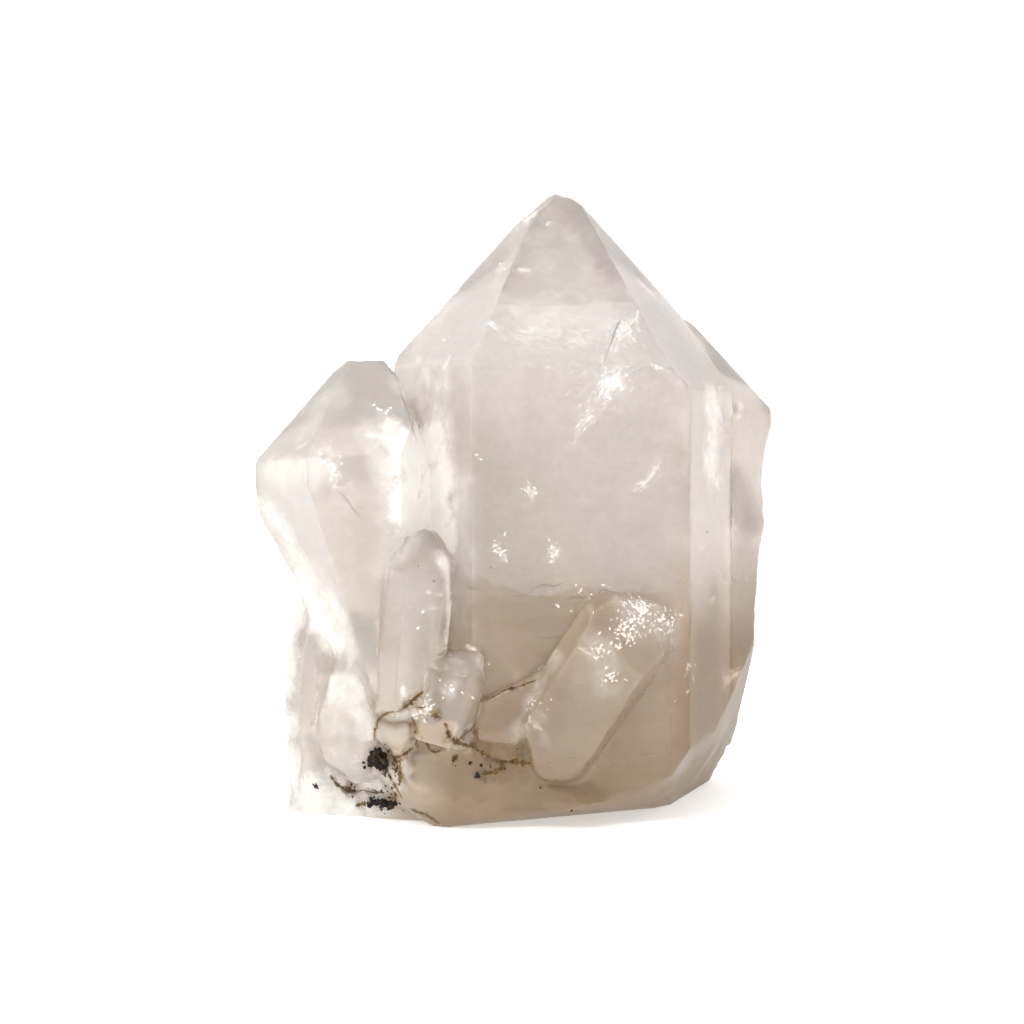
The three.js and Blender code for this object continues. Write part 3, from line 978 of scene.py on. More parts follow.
def curve_through(path, step):
    """Points about a step apart on a smooth curve through corners in millimetres."""
    corners = np.array(path, float) * MM
    ends = [2 * corners[0] - corners[1], *corners, 2 * corners[-1] - corners[-2]]
    spots = []
    for a, b, c, d in zip(ends, ends[1:], ends[2:], ends[3:]):
        count = max(1, round(np.linalg.norm(c - b) / step))
        for t in np.arange(count) / count:
            bend = (2 * a - 5 * b + 4 * c - d) * t * t + (3 * b - a - 3 * c + d) * t**3
            spots.append(0.5 * (2 * b + (c - a) * t + bend))
    return [Vector(s) for s in spots + [corners[-1]]]


RIBBON_WAVE, RIPPLE_SIZE = 2.2 * MM, 1.3 * MM  # how far apart a ribbon's bends and its ripples come
RIBBON_SWAY = 0.35  # how far its middle strays, as a share of its half width
RIBBON_UNEVEN = 0.5  # how much its width varies
RIBBON_TAPER = 0.35  # the lower, the blunter its ends
# Each kind of ribbon: quads across and one more, length of a quad, how far its height strays, and how much
# its width comes and goes.
VEIL_RIBBON = {"lanes": 11, "step": 0.3 * MM, "ripple": 0.4 * MM, "clumps": 0.6}
SCATTERED_RIBBON = {"lanes": 7, "step": 0.35 * MM, "ripple": 0.4 * MM}
STREAK_RIBBON = {"lanes": 3, "step": 0.25 * MM}
CRACK_RIBBON = {"lanes": 5, "step": 0.2 * MM, "ripple": 0.1 * MM}
HAZE_RIBBON = {"lanes": 13, "step": 0.8 * MM, "ripple": 0.5 * MM}
LINE_RIBBON = {"lanes": 5, "step": 0.12 * MM, "clumps": 1.5}
BLOOM_RIBBON = {"lanes": 9, "step": 0.2 * MM, "clumps": 0.8}
# Where each kind starts in the noise that shapes it.
VEIL_NOISE, SCATTERED_NOISE, CRACK_NOISE = 1.0, 60.0, 31.0
HAZE_NOISE, ROOT_HAZE_NOISE, FILM_NOISE = 3.0, 23.0, 11.0
LINE_NOISE, BLOOM_NOISE = 90.0, 70.0


def drape(heap, grown, path, half, lift, seed, lanes, step, ripple=0.0, clumps=0.0):
    """Adds a ribbon of this half width that follows a path over the quartz.

    lift is its height over the surface, less than 0 for one sealed inside. Its core value falls from 1 along
    the middle to 0 at the sides and ends."""
    middles = curve_through(path, step)
    points, core = [], []
    last = len(middles) - 1
    for k, middle in enumerate(middles):
        ahead = middles[min(k + 1, last)] - middles[max(k - 1, 0)]
        stray = Vector((seed, k * step / RIBBON_WAVE, 3 * seed))
        on, normal = grown.spot(middle)
        side = normal.cross(ahead).normalized()
        on = on + side * (RIBBON_SWAY * half * noise.noise(stray))
        taper = math.sin(math.pi * (k + 0.5) / (last + 1)) ** RIBBON_TAPER
        uneven = 1 + RIBBON_UNEVEN * noise.noise(stray * 1.7) + clumps * noise.noise(stray * 5.3)
        width = half * taper * uneven
        for across in np.linspace(-1, 1, lanes):
            spot, facing = grown.spot(on + side * (across * width))
            depth = lift + ripple * noise.noise(spot / RIPPLE_SIZE + stray)
            points.append(spot + facing * depth)
            core.append((1 - abs(across)) * taper)
    faces = []
    for k in range(last):
        for lane in range(lanes - 1):
            a = k * lanes + lane
            faces.append((a, a + 1, a + 1 + lanes, a + lanes))
    heap.add(points, faces, core)


STREAKS, STREAK_EVERY = 3.5, 0.3 * MM  # how many streaks for each such step of a veil 2 mm wide
STREAK_REACH, STREAK_HALF = (0.2, 1.4), (0.03, 0.1)  # millimetres
STREAK_DEPTH = 0.15, 1.0  # as a share of the veil's depth


def feather(heap, grown, path, half, lift, draw):
    """Adds fine bright streaks along a path, about within half of it and no deeper than lift."""
    middles = curve_through(path, STREAK_EVERY)
    for _ in range(int(STREAKS * len(middles) * (half / MM) ** 0.7)):
        k = draw.integers(1, len(middles) - 1) if len(middles) > 2 else 0
        ahead = (middles[min(k + 1, len(middles) - 1)] - middles[max(k - 1, 0)]).normalized()
        on, normal = grown.spot(middles[k] + Vector(draw.normal(0, 0.7 * half, 3)))
        ahead.rotate(Quaternion(normal, draw.normal(0, 0.25)))
        reach = draw.uniform(*STREAK_REACH) * MM
        streak = [tuple((on + ahead * (reach * t)) / MM) for t in (-0.5, 0, 0.5)]
        depth = lift * draw.uniform(*STREAK_DEPTH)
        wide = draw.uniform(*STREAK_HALF) * MM
        drape(heap, grown, streak, wide, depth, draw.uniform(0, 90), **STREAK_RIBBON)


def wander(grown, draw, start, reach):
    """A path of about this reach (metres) in a random direction over the quartz, in millimetres."""
    on, normal = grown.spot(start)
    heading = normal.orthogonal().normalized()
    heading.rotate(Quaternion(normal, draw.uniform(0, 2 * math.pi)))
    path = [on]
    for _ in range(4):
        heading = (heading + normal.cross(heading) * draw.uniform(-0.5, 0.5)).normalized()
        on, normal = grown.spot(on + heading * (reach / 4))
        path.append(on)
    return [tuple(p / MM) for p in path]


# Veils of healed cracks and bubbles inside the large faces: half width, depth, strength and path. All
# widths, depths and places in these lists are millimetres.
VEILS = [
    (
        3.0, 1.2, 0.5,
        [(15.0, -20.6, 70), (14.4, -21.5, 68.2), (13.4, -21.7, 66.3), (12.2, -22, 64.7), (11, -22, 63.4)],
    ),
    (1.6, 0.6, 0.8, [(14.8, -21.2, 68.6), (14.2, -21.7, 66.6), (13.0, -21.8, 65)]),
    (5.0, 1.4, 0.35, [(-1.5, -16, 76), (3, -16.5, 75.2), (8, -17, 74.4), (11, -18, 73.6)]),
    (2.6, 1.0, 0.35, [(14, -15, 76.6), (16, -16, 75), (18, -18, 72.8)]),
    (1.1, 0.6, 0.55, [(17.9, -14, 77.2), (15.6, -16.5, 74.4), (13.4, -19.5, 71.4)]),
    (0.7, 0.4, 0.8, [(21.1, -22, 55.7), (20.2, -22.2, 53.3), (19, -22.4, 52), (17.3, -22.6, 50.8)]),
    (1.3, 0.9, 0.55, [(11.5, -22.2, 62.8), (10.1, -22.4, 61.3), (8, -22.7, 58.6)]),
    (1.2, 0.5, 0.8, [(4.6, -24, 43), (5.2, -24.1, 41.6), (5.4, -24.1, 40)]),
    (0.8, 0.4, 0.8, [(-4, -24.6, 43.5), (-3, -24.6, 42), (-2, -24.7, 40.4)]),
    (0.9, 0.4, 0.8, [(1.2, -23.7, 52), (1.8, -23.7, 50.6), (2.2, -23.8, 49.2)]),
    (1.3, 0.5, 0.7, [(-28.6, -23, 57), (-27.8, -26, 53.6), (-27, -26.3, 51.2)]),
    (1.6, 0.8, 0.7, [(-19.6, -23, 61), (-18.6, -24.5, 56), (-18.4, -26, 50)]),
    (0.8, 0.3, 0.9, [(-0.6, -9.6, 83.9), (0.6, -9.5, 83.7), (1.8, -9.4, 83.6)]),
    (1.6, 0.4, 1.0, [(1.6, -1.6, 94), (1.0, -1.6, 92.6), (-0.8, -2.2, 91)]),
]
# Open cracks just under the surface, seen as thin grey lines: half width, depth and path.
CRACKS = [
    (
        0.28, 0.2,
        [(16.2, -14.1, 77.2), (14.9, -16, 75.3), (14, -18, 73.1), (13.2, -19.7, 71.4), (12.7, -21.1, 69.9)],
    ),
    (0.22, 0.2, [(-27.6, -26.3, 51.4), (-25.9, -26.3, 50.1), (-24.8, -26.4, 48.5), (-23.3, -26.4, 46.7)]),
    (0.7, 0.15, [(11.9, -3.4, 89.4), (10.4, -4.2, 88.6), (9.4, -4.8, 88)]),
    (0.45, 0.15, [(10.8, -4.9, 87.6), (9.6, -5.6, 86.9), (8.6, -6.2, 86.4)]),
    (0.3, 0.2, [(30.4, -13.8, 30.7), (29, -16.8, 29), (27.6, -19.8, 27.4), (26.8, -20.4, 25.6)]),
    (0.2, 0.2, [(11, -24.8, 34.4), (8.6, -24.9, 34.9), (6.4, -25, 34.2)]),
    (0.18, 0.2, [(2.6, -25, 29), (4.4, -25, 28.7), (6.2, -25, 29)]),
    (0.25, 0.2, [(31, -10.1, 64), (31.4, -9.5, 61.6), (32.2, -8.1, 60.3)]),
    (0.25, 0.3, [(-8.4, -24.6, 36.8), (-7, -24.8, 36.2), (-5.6, -24.9, 36.4)]),
    (0.3, 0.3, [(2.4, -25, 36.2), (4, -25, 36.8), (5.4, -25, 36.6), (6.6, -25, 37.2)]),
    (0.18, 0.3, [(-1, -25, 35.4), (0.6, -25, 35.2), (2.4, -25, 36.2)]),
]
# Iron stain in the seams between the small points at the front of the root: half width and path.
STAINS = [
    (0.26, [(-18, -31.2, 18.7), (-16.1, -30.8, 20), (-15.1, -30.6, 20.8), (-14.2, -30.6, 21.6)]),
    (0.16, [(-15.4, -30.6, 19.2), (-13.9, -30.9, 19.2)]),
    (0.26, [(-13.2, -31.1, 17.8), (-12.4, -31.2, 18.1), (-11.5, -31.5, 17.7)]),
    (0.24, [(-11, -31.7, 17.1), (-10.4, -32, 15.2), (-9.3, -31.4, 14.2), (-8.4, -29, 13.4)]),
    (
        0.26,
        [
            (-8.6, -29.6, 13.7), (-7, -28.2, 12.7), (-5, -28.2, 11.6),
            (-2.8, -28.2, 10.6), (-0.2, -27.7, 10.5),
        ],
    ),
    (0.3, [(-2, -28, 10.4), (-0.2, -27.7, 10.4), (2, -28.4, 10.1)]),
    (0.14, [(-9.3, -31.4, 14.2), (-7.7, -30, 15.3), (-6.5, -28.9, 15.9)]),
    (0.26, [(-6.6, -29.3, 8.3), (-5.7, -29.2, 8.8), (-3.5, -28.8, 9.2), (-1.9, -28.2, 10.1)]),
    (0.3, [(-6.8, -29.3, 8.3), (-5.8, -29.2, 8.7)]),
    (0.22, [(-10, -29.1, 10.9), (-9.2, -28.8, 11.8)]),
    (
        0.14,
        [
            (-21.6, -26, 13.2), (-21.7, -27.2, 15.1), (-21, -28, 16.8),
            (-19.7, -30.1, 18.2), (-18, -31.2, 18.7),
        ],
    ),
    (0.12, [(-16.4, -30.9, 18.3), (-15.4, -30, 16.8), (-15, -29.8, 15.2), (-15.7, -27, 12.6)]),
    (0.2, [(-20.2, -26.6, 10.8), (-18.7, -28, 11.1), (-17, -28.8, 11.8), (-15.6, -27.4, 12.5)]),
    (0.26, [(-19.8, -26.6, 9.9), (-18.6, -28, 10.5), (-17.4, -28.6, 11)]),
    (0.12, [(-14.4, -31, 15), (-13.8, -28.8, 12.9), (-12.4, -28.2, 12.1), (-10.8, -31, 13.2)]),
    (0.2, [(-17.9, -29, 10.6), (-17.8, -27.2, 8.2), (-18.3, -26.4, 6.1)]),
    (0.12, [(-20.2, -26.8, 9.5), (-19.4, -26, 7.5), (-18.4, -26, 5.7), (-17.9, -25.6, 4.1)]),
    (
        0.16,
        [
            (-28.9, -18.9, 6.6), (-28, -18.2, 5.2), (-27.1, -17.3, 4.3),
            (-25.9, -17.6, 3.9), (-24, -18.4, 4.2),
        ],
    ),
    (0.24, [(-26.9, -17.4, 4.6), (-26, -17.5, 4.1), (-25, -17.8, 4)]),
    (0.14, [(-24, -18.4, 4.2), (-22.4, -20, 4.2), (-20.5, -21.9, 4.5)]),
    (0.22, [(-25.2, -18.3, 1.7), (-23.6, -19.6, 2.4), (-22, -22.2, 3)]),
    (0.2, [(-19.5, -23.2, 3), (-18.6, -25.6, 5.2)]),
    (0.16, [(-16.7, -24.8, 2.7), (-14.1, -26.6, 2), (-11.9, -26, 0.6)]),
    (0.1, [(-5.8, -29.3, 20), (-2.8, -28, 21), (0.2, -28.2, 22.1), (3.2, -28, 23.1)]),
]


def ragged_group():
    """A shader group: wears a cover value away with noise, down to ragged holes and edges."""
    name = "Ragged Cover"
    if name in bpy.data.node_groups:
        return bpy.data.node_groups[name]
    tree = bpy.data.node_groups.new(name, "ShaderNodeTree")
    tree.interface.new_socket("Place", in_out="INPUT", socket_type="NodeSocketVector")
    for title in ("Scale", "Wear", "Cover", "Bare", "Whole"):
        tree.interface.new_socket(title, in_out="INPUT", socket_type="NodeSocketFloat")
    tree.interface.new_socket("Mask", in_out="OUTPUT", socket_type="NodeSocketFloat")
    nodes = Nodes(tree)
    given = tree.nodes.new("NodeGroupInput").outputs
    worn = nodes.wave(given["Place"], given["Scale"], given["Wear"], 4.0, 0.62)
    mask = nodes.ramp(nodes.math("ADD", given["Cover"], worn), given["Bare"], given["Whole"])
    tree.links.new(mask, tree.nodes.new("NodeGroupOutput").inputs["Mask"])
    return tree


def ragged(nodes, place, scale, wear, cover, fade):
    """A ragged mask in a material."""
    group = nodes.tree.nodes.new("ShaderNodeGroup")
    group.node_tree = ragged_group()
    inputs = {"Place": place, "Scale": scale, "Wear": wear, "Cover": cover}
    for name, value in {**inputs, "Bare": fade[0], "Whole": fade[1]}.items():
        nodes.feed(group.inputs[name], value)
    return group.outputs["Mask"]


# Thin films: opacity, the noise that wears them in features a metre, how ragged it leaves them, the cover at
# which they start and are whole, how brightly they shine by themselves as painted light, and how rough they
# are.
FILMS = {
    "Healed Veil with Painted Glow": {"alpha": 0.5, "scale": 1100.0, "wear": 1.9, "fade": (0.1, 1.0)},
    "Veil Feather with Painted Glow": {"alpha": 0.5, "scale": 1500.0, "wear": 1.6, "fade": (0.05, 0.6)},
    "Open Crack": {"alpha": 0.85, "scale": 1500.0, "wear": 1.3},
    # The hazes shine faintly by themselves: painted light.
    "Milky Haze with Painted Glow": {"alpha": 0.6, "scale": 90.0, "wear": 0.9, "fade": (0.0, 0.9), "glow": 0.22, "rough": 0.9},
    "Root Haze with Painted Glow": {"alpha": 0.6, "scale": 90.0, "wear": 1.0, "fade": (0.0, 1.0), "glow": 0.3, "rough": 0.9},
    "Low Haze with Painted Glow": {"alpha": 0.85, "scale": 90.0, "wear": 0.6, "fade": (0.0, 0.4), "glow": 0.3, "rough": 0.9},
    # The rind's own shine is painted light that whitens it where shade falls.
    "Frosted Rind with Painted Glow": {
        "alpha": 0.78, "scale": 600.0, "wear": 0.55, "fade": (0.0, 1.2), "glow": 0.18, "rough": 0.35
    },
    "Iron Stain": {"alpha": 0.95, "scale": 1500.0, "wear": 2.2, "fade": (0.1, 0.5), "rough": 0.85},
    "Iron Bloom": {"alpha": 0.5, "scale": 900.0, "wear": 1.8, "fade": (0.05, 0.95), "rough": 0.85},
    # These flakes shine white at full strength by themselves: painted glint.
    "Painted Glint Flake": {"alpha": 0.95, "scale": 700.0, "wear": 0.4, "glow": 1.0, "rough": 0.2},
}
PLAIN_FILM = {"fade": (0.2, 0.5), "glow": 0.0, "rough": 0.5}


def film_material(name, tint, deep, **changed):
    """One of the thin films, in two tones and worn ragged."""
    film = {**PLAIN_FILM, **FILMS[name], **changed}
    material, nodes, shader = new_material(name)
    place = nodes.place()
    mask = ragged(nodes, place, film["scale"], film["wear"], nodes.attribute("core"), film["fade"])
    tone = nodes.patches(place, film["scale"] * 0.6, 0.4, 0.65, 3.0)
    shade(
        shader,
        nodes,
        Base_Color=nodes.mix(tone, tint, deep),
        Roughness=film["rough"],
        Alpha=nodes.math("MULTIPLY", mask, film["alpha"]),
        # Emission lights a film without any lamp: painted light.
        Emission_Color=tint,
        Emission_Strength=film["glow"],
    )
    return material


VEIL_SEED = 19
VEIL_DULL, CRACK_TINTS = (0.93, 0.91, 0.88), ((0.30, 0.25, 0.21), (0.62, 0.57, 0.53))
# Veils scattered behind this place may be larger: greatest half width and reach, in millimetres.
BEHIND = -8 * MM
SMALL_VEIL, LARGE_VEIL = (0.5, 3), (1.5, 9)
NARROWEST, NEAREST, VEIL_DEPTH = 0.3, 2, (0.4, 1.5)
WHOLE_QUARTZ, VEIL_LOWEST = 0.1, 16 * MM  # they start where the quartz is less broken, and this high


class QUARTZ_OT_veils(bpy.types.Operator):
    """Seal veils and open cracks inside the crystals"""

    bl_idname = "quartz.seal_veils"
    bl_label = "Seal Veils"

    def execute(self, context):
        look = context.scene.sealed_look
        grown = Grown()
        draw = np.random.default_rng(VEIL_SEED)
        veils, feathers, cracks = Heap(), Heap(), Heap()
        for k, (half, depth, strength, path) in enumerate(VEILS):
            first = len(veils.core)
            drape(veils, grown, path, half * MM, -depth * MM, VEIL_NOISE + k, **VEIL_RIBBON)
            veils.core[first:] = [strength * c for c in veils.core[first:]]
            feather(feathers, grown, path, half * MM, -depth * MM, draw)
        for k, (half, depth, path) in enumerate(CRACKS):
            drape(cracks, grown, path, half * MM, -depth * MM, CRACK_NOISE + k, **CRACK_RIBBON)
        whole_quartz = grown.attribute("broken") < WHOLE_QUARTZ
        clear = np.flatnonzero(whole_quartz & (grown.points[:, 2] > VEIL_LOWEST))
        for k in range(look.scattered):
            start = grown.points[draw.choice(clear)]
            widest, farthest = LARGE_VEIL if start[1] > BEHIND else SMALL_VEIL
            half = draw.uniform(NARROWEST, widest) * MM
            path = wander(grown, draw, start, draw.uniform(NEAREST, farthest) * MM)
            lift = -draw.uniform(*VEIL_DEPTH) * MM
            drape(veils, grown, path, half, lift, SCATTERED_NOISE + k, **SCATTERED_RIBBON)
            feather(feathers, grown, path, half, lift, draw)
        # The veils and feathers shine by themselves: painted light.
        soft = film_material("Healed Veil with Painted Glow", look.veil, VEIL_DULL, glow=look.glow)
        veils.piece("veils", soft, "quartz")
        bright = film_material("Veil Feather with Painted Glow", look.veil, VEIL_DULL, glow=look.glow)
        feathers.piece("veil_feathers", bright, "quartz")
        cracks.piece("cracks", film_material("Open Crack", *CRACK_TINTS), "quartz")
        return {"FINISHED"}


# Sheets of haze across the large point: direction it faces in degrees round from the front, distance in
# front of the axis, lowest and highest point and half width, in millimetres.
HAZE = [
    (0, 13.0, 37, 86, 20),
    (28, 15.0, 38, 74, 8),
    (62, 14.0, 30, 78, 14),
    (118, 12.0, 30, 76, 13),
    (180, 12.0, 24, 82, 16),
    (238, 12.0, 30, 78, 12),
    (300, 13.0, 36, 76, 12),
]
# The same in the brown lower part.
ROOT_HAZE = [
    (4, 15.0, 5, 35.6, 17),
    (70, 12.0, 6, 32, 14),
    (182, 12.0, 6, 30, 15),
    (290, 13.0, 6, 32, 14),
    (78, 18.5, 2, 30, 14),
    (100, 22.0, 2, 26, 12),
]
# Brown haze close under the low right side: half width, depth and path.
ROOT_FILMS = [
    (4.5, 1.6, [(26.5, -19, 3), (27.6, -18, 10), (29, -15.5, 20), (30, -14, 30), (30.2, -14, 36)]),
    (7.0, 1.8, [(31, -8, 3), (32, -5, 10), (34, -5, 20), (35, -5, 30)]),
    (7.0, 2.0, [(28, -13, 2), (30, -8, 6), (31, 0, 6)]),
]
HAZE_STEP = 1.2 * MM
HAZE_SKIN = 1.5 * MM  # haze starts this deep and is whole at twice the depth
HAZE_WAVE, HAZE_STRAY = 14 * MM, 1.6 * MM  # width and depth of a sheet's waves
HAZE_EDGE = 6  # how steeply a sheet's cover rises from its sides, as its half width over the fade
LEAST_HALF, LEAST_AHEAD = 1 * MM, 0.5 * MM  # of a sheet where the termination narrows
AHEAD_DROP = 4 * MM  # a sheet draws back to the axis this much below where it narrows
LARGE_FOOT, LARGE_LEAN = Vector((6.5, -3.8, 0)) * MM, math.tan(math.radians(4))
TIP_HEIGHT, TIP_NARROWS = 90 * MM, 0.62  # the large point's termination narrows to its tip at this rate


def depth_inside(grown, place):
    """How deep a place is inside the quartz, in metres, or 0 outside."""
    on, normal = grown.spot(place)
    return max(0.0, (on - place).dot(normal))


def haze_sheet(heap, grown, turn, ahead, low, high, half, seed):
    """Adds an uneven upright sheet inside the large point. Its core value falls off to its sides and top
    and where it comes near the surface."""
    facing = Vector((math.sin(math.radians(turn)), -math.cos(math.radians(turn)), 0))
    side = Vector((-facing.y, facing.x, 0))
    rows = round((high - low) * MM / HAZE_STEP)
    lanes = round(2 * half * MM / HAZE_STEP)
    points, core = [], []
    for row in range(rows + 1):
        z = (low + (high - low) * row / rows) * MM
        wide = min(half * MM, max(LEAST_HALF, (TIP_HEIGHT - z) * TIP_NARROWS))
        near = min(ahead * MM, max(LEAST_AHEAD, (TIP_HEIGHT - AHEAD_DROP - z) * TIP_NARROWS))
        for lane in range(lanes + 1):
            across = 2 * lane / lanes - 1
            spot = LARGE_FOOT + Vector((0, LARGE_LEAN * z, z)) + facing * near + side * (across * wide)
            stray = noise.fractal(spot / HAZE_WAVE + Vector((seed, 0, seed)), 1.0, 2.0, 3)
            points.append(spot + facing * (HAZE_STRAY * stray))
            rim = min(1 - abs(across), 2 * row / rows + 0.2, 3 * (1 - row / rows))
            sunk = (depth_inside(grown, points[-1]) - HAZE_SKIN) / HAZE_SKIN
            core.append(max(0.0, min(1.0, HAZE_EDGE * rim, sunk)))
    faces = []
    for row in range(rows):
        for lane in range(lanes):
            a = row * (lanes + 1) + lane
            corners = (a, a + 1, a + lanes + 2, a + lanes + 1)
            if min(core[c] for c in corners) > 0:
                faces.append(corners)
    heap.add(points, faces, core)


class QUARTZ_OT_haze(bpy.types.Operator):
    """Seal milky haze and the brown haze of the root inside the large point, all shining faintly as painted
    light
    """

    bl_idname = "quartz.seal_haze"
    bl_label = "Seal Haze"

    def execute(self, context):
        look = context.scene.sealed_look
        grown = Grown()
        milk, brown, film = Heap(), Heap(), Heap()
        for k, sheet in enumerate(HAZE):
            haze_sheet(milk, grown, *sheet, HAZE_NOISE + k)
        for k, sheet in enumerate(ROOT_HAZE):
            haze_sheet(brown, grown, *sheet, ROOT_HAZE_NOISE + k)
        for half, depth, path in ROOT_FILMS:
            drape(film, grown, path, half * MM, -depth * MM, FILM_NOISE + half, **HAZE_RIBBON)
        milk.piece("milky_haze", film_material("Milky Haze with Painted Glow", look.haze, look.haze_deep), "quartz")
        brown.piece("root_haze", film_material("Root Haze with Painted Glow", look.cloud, look.cloud_deep), "quartz")
        film.piece("low_haze", film_material("Low Haze with Painted Glow", look.cloud, look.cloud_deep), "quartz")
        return {"FINISHED"}


# White frosted rind: reach, strength and path.
FROST = [
    (
        5.0, 0.65,
        [(-38.4, -17, 47.4), (-35, -19, 42), (-31, -22.5, 37), (-27.5, -25, 31.5), (-25.3, -26, 27)],
    ),
    (5.5, 0.4, [(-37.6, -17, 53.4), (-32.5, -24.5, 53.6)]),
    (7.0, 1.3, [(-15, -15.7, 57), (-13.8, -17.6, 53.4), (-13.2, -16.8, 48.7), (-12.6, -17, 44)]),
    (5.0, 0.7, [(-16, -19, 57), (-15.5, -19.5, 52)]),
    (6.0, 1.5, [(-17, -23.2, 58.4), (-15.6, -21, 52.2), (-16.3, -23, 49.3), (-14.2, -18.8, 45.8)]),
    (5.0, 0.5, [(-15.1, -11.4, 63.6), (-16, -15, 62)]),
    (4.0, 0.38, [(-9, -21, 50), (-8.5, -22.8, 40), (-8.6, -23, 31)]),
    (5.0, 0.8, [(-14.9, -19.9, 49), (-14.5, -22, 45)]),
    (6.0, 0.5, [(-21, -22, 60), (-19, -26, 54), (-18, -26, 48), (-18.6, -26.6, 42)]),
    (7.0, 0.4, [(-33, -18, 61), (-29, -18.5, 65)]),
    (8.0, 0.85, [(-36, -13, 32), (-38, -12, 22), (-38, -12, 12), (-36, -13, 3)]),
    (5.5, 0.95, [(-32, -19, 35), (-29.5, -21.5, 31), (-27.6, -23.5, 27)]),
    (4.5, 0.7, [(-27.4, -26, 22), (-25.4, -26.6, 20.5), (-23.4, -26.5, 15)]),
    (6.0, 0.45, [(-26.6, -26.6, 16), (-25.5, -27.5, 10)]),
    (8.0, 0.85, [(-35, -14, 2.5), (-29, -18, 2), (-24, -20.6, 2)]),
    (2.0, 0.9, [(-11.2, -29, 41), (-10.6, -28, 37), (-10.2, -26, 32.5), (-10.9, -26.5, 29)]),
    (5.0, 0.8, [(29.5, -13.6, 64), (29.8, -13.4, 53)]),
    (7.0, 0.65, [(-15, -15, 66), (-12.5, -17, 61), (-12, -19, 54)]),
    (16.0, 0.34, [(3, -7, 86), (6, -10, 82)]),
    (7.0, 0.4, [(2, -14, 76), (12, -15, 76)]),
    (1.8, 0.5, [(-5.6, -27.6, 26.4), (-4.9, -27.8, 23)]),
    (1.8, 0.4, [(-9.8, -29.8, 26.3), (-10.4, -31.5, 22)]),
    (2.2, 0.3, [(-15.2, -30.6, 20.6), (-13.9, -31, 18.8), (-13.1, -31.2, 17)]),
    (5.0, 0.32, [(15.6, -26.8, 34), (18, -26.4, 32), (22, -24.6, 30)]),
    (3.6, 0.3, [(11.6, -29.2, 29.4), (12.8, -29.2, 25.6), (13.2, -29, 22)]),
    (2.6, 0.35, [(5.4, -28.4, 26.5), (2.6, -28.6, 20.6), (-0.4, -28.6, 14.6)]),
    (1.8, 0.25, [(3.2, -29, 22.6), (2.6, -29.6, 17), (4, -29.6, 14)]),
    (2.0, 0.8, [(1.6, -1.6, 94), (0.2, -1, 92.4), (-1.6, -2, 90.4)]),
    (2.2, 0.5, [(-20, -27, 8.6), (-18.6, -26.4, 6.4)]),
    (4.0, 0.4, [(-23.4, -26.5, 13), (-22.4, -26.7, 8)]),
]


FROST_RAGGED = 0.45  # how far noise moves the rind's edges, as a share of each stroke's reach
FROST_LEAST = 0.02  # thinner rind is left out


class QUARTZ_OT_frost(bpy.types.Operator):
    """Coat the ribs and the worn places with frosted white rind, which also shines a little by itself as
    painted light
    """

    bl_idname = "quartz.coat_frost"
    bl_label = "Coat with Frost"

    def execute(self, context):
        look = context.scene.surface_look
        grown = Grown()
        cover = painted(grown.points, FROST, FROST_RAGGED)
        kept = grown.triangles[(cover[grown.triangles] > FROST_LEAST).any(axis=1)]
        used, compact = np.unique(kept, return_inverse=True)
        points = grown.points[used] + grown.normals[used] * look.rind
        heap = Heap()
        heap.add(points, compact.reshape(-1, 3).tolist(), cover[used])
        heap.piece("frost_rind", film_material("Frosted Rind with Painted Glow", look.frost, look.frost_deep), "quartz")
        return {"FINISHED"}


# How much wider than its seam each film of stain runs, and its height over the quartz in rinds.
LINE_SPREAD, LINE_HEIGHT = 1.45, 1.6
BLOOM_SPREAD, BLOOM_HEIGHT = 6, 1.2


class QUARTZ_OT_stain(bpy.types.Operator):
    """Run iron stain along the seams of the root"""

    bl_idname = "quartz.run_stain"
    bl_label = "Run Iron Stain"

    def execute(self, context):
        look = context.scene.surface_look
        grown = Grown()
        lines, blooms = Heap(), Heap()
        for k, (half, path) in enumerate(STAINS):
            wide, high = LINE_SPREAD * half * MM, LINE_HEIGHT * look.rind
            drape(lines, grown, path, wide, high, LINE_NOISE + k, **LINE_RIBBON)
            wide, high = BLOOM_SPREAD * half * MM, BLOOM_HEIGHT * look.rind
            drape(blooms, grown, path, wide, high, BLOOM_NOISE + k, **BLOOM_RIBBON)
        dark = film_material("Iron Stain", look.stain, look.stain_deep)
        lines.piece("iron_stain", dark, "dark_oxide")
        faint = film_material("Iron Bloom", look.bloom, look.stain_deep)
        blooms.piece("iron_bloom", faint, "dark_oxide")
        return {"FINISHED"}


# Dark oxide specks: where, how far they scatter and how many. Millimetres.
SPECKS = [
    ((-31.2, -18.2, 4.6), 0.35, 12),
    ((-22.4, -19.9, 4.6), 0.2, 3),
    ((-6.2, -29.2, 8.5), 0.4, 6),
    ((-9.9, -29.1, 10.6), 0.4, 4),
    ((-7, -28.9, 10.5), 0.3, 3),
    ((-18, -27, 9), 0.5, 5),
    ((-14.9, -30.6, 40.4), 0.1, 1),
    ((-4.2, -24.8, 39.5), 0.1, 1),
    ((-13, -28.6, 38), 0.1, 1),
    ((28.6, -16.5, 43.8), 0.1, 1),
    ((-2.6, -28, 10.6), 2.5, 5),
    ((4, -28, 7), 3.0, 5),
    ((-25.6, -17.5, 4.2), 1.0, 4),
    ((-20.4, -23, 3.2), 2.2, 20),
    ((-20.6, -26.5, 9.6), 2.2, 34),
]


# The oxide's solids: random seed, node, and how far its crust sinks between lumps, in millimetres.
OXIDE_SOLIDS = [(50, "oxide_patch", 0.4), (51, "oxide_rim_patch", 0.75)]
CRUST_LUMP, CRUST_RISE = 0.9, 0.2  # size of the crust's lumps and the most it rises, in millimetres
FRONT_GRAINS = 0.2  # grains sit where the normal's Y is under this
SPECK_SEED = 77


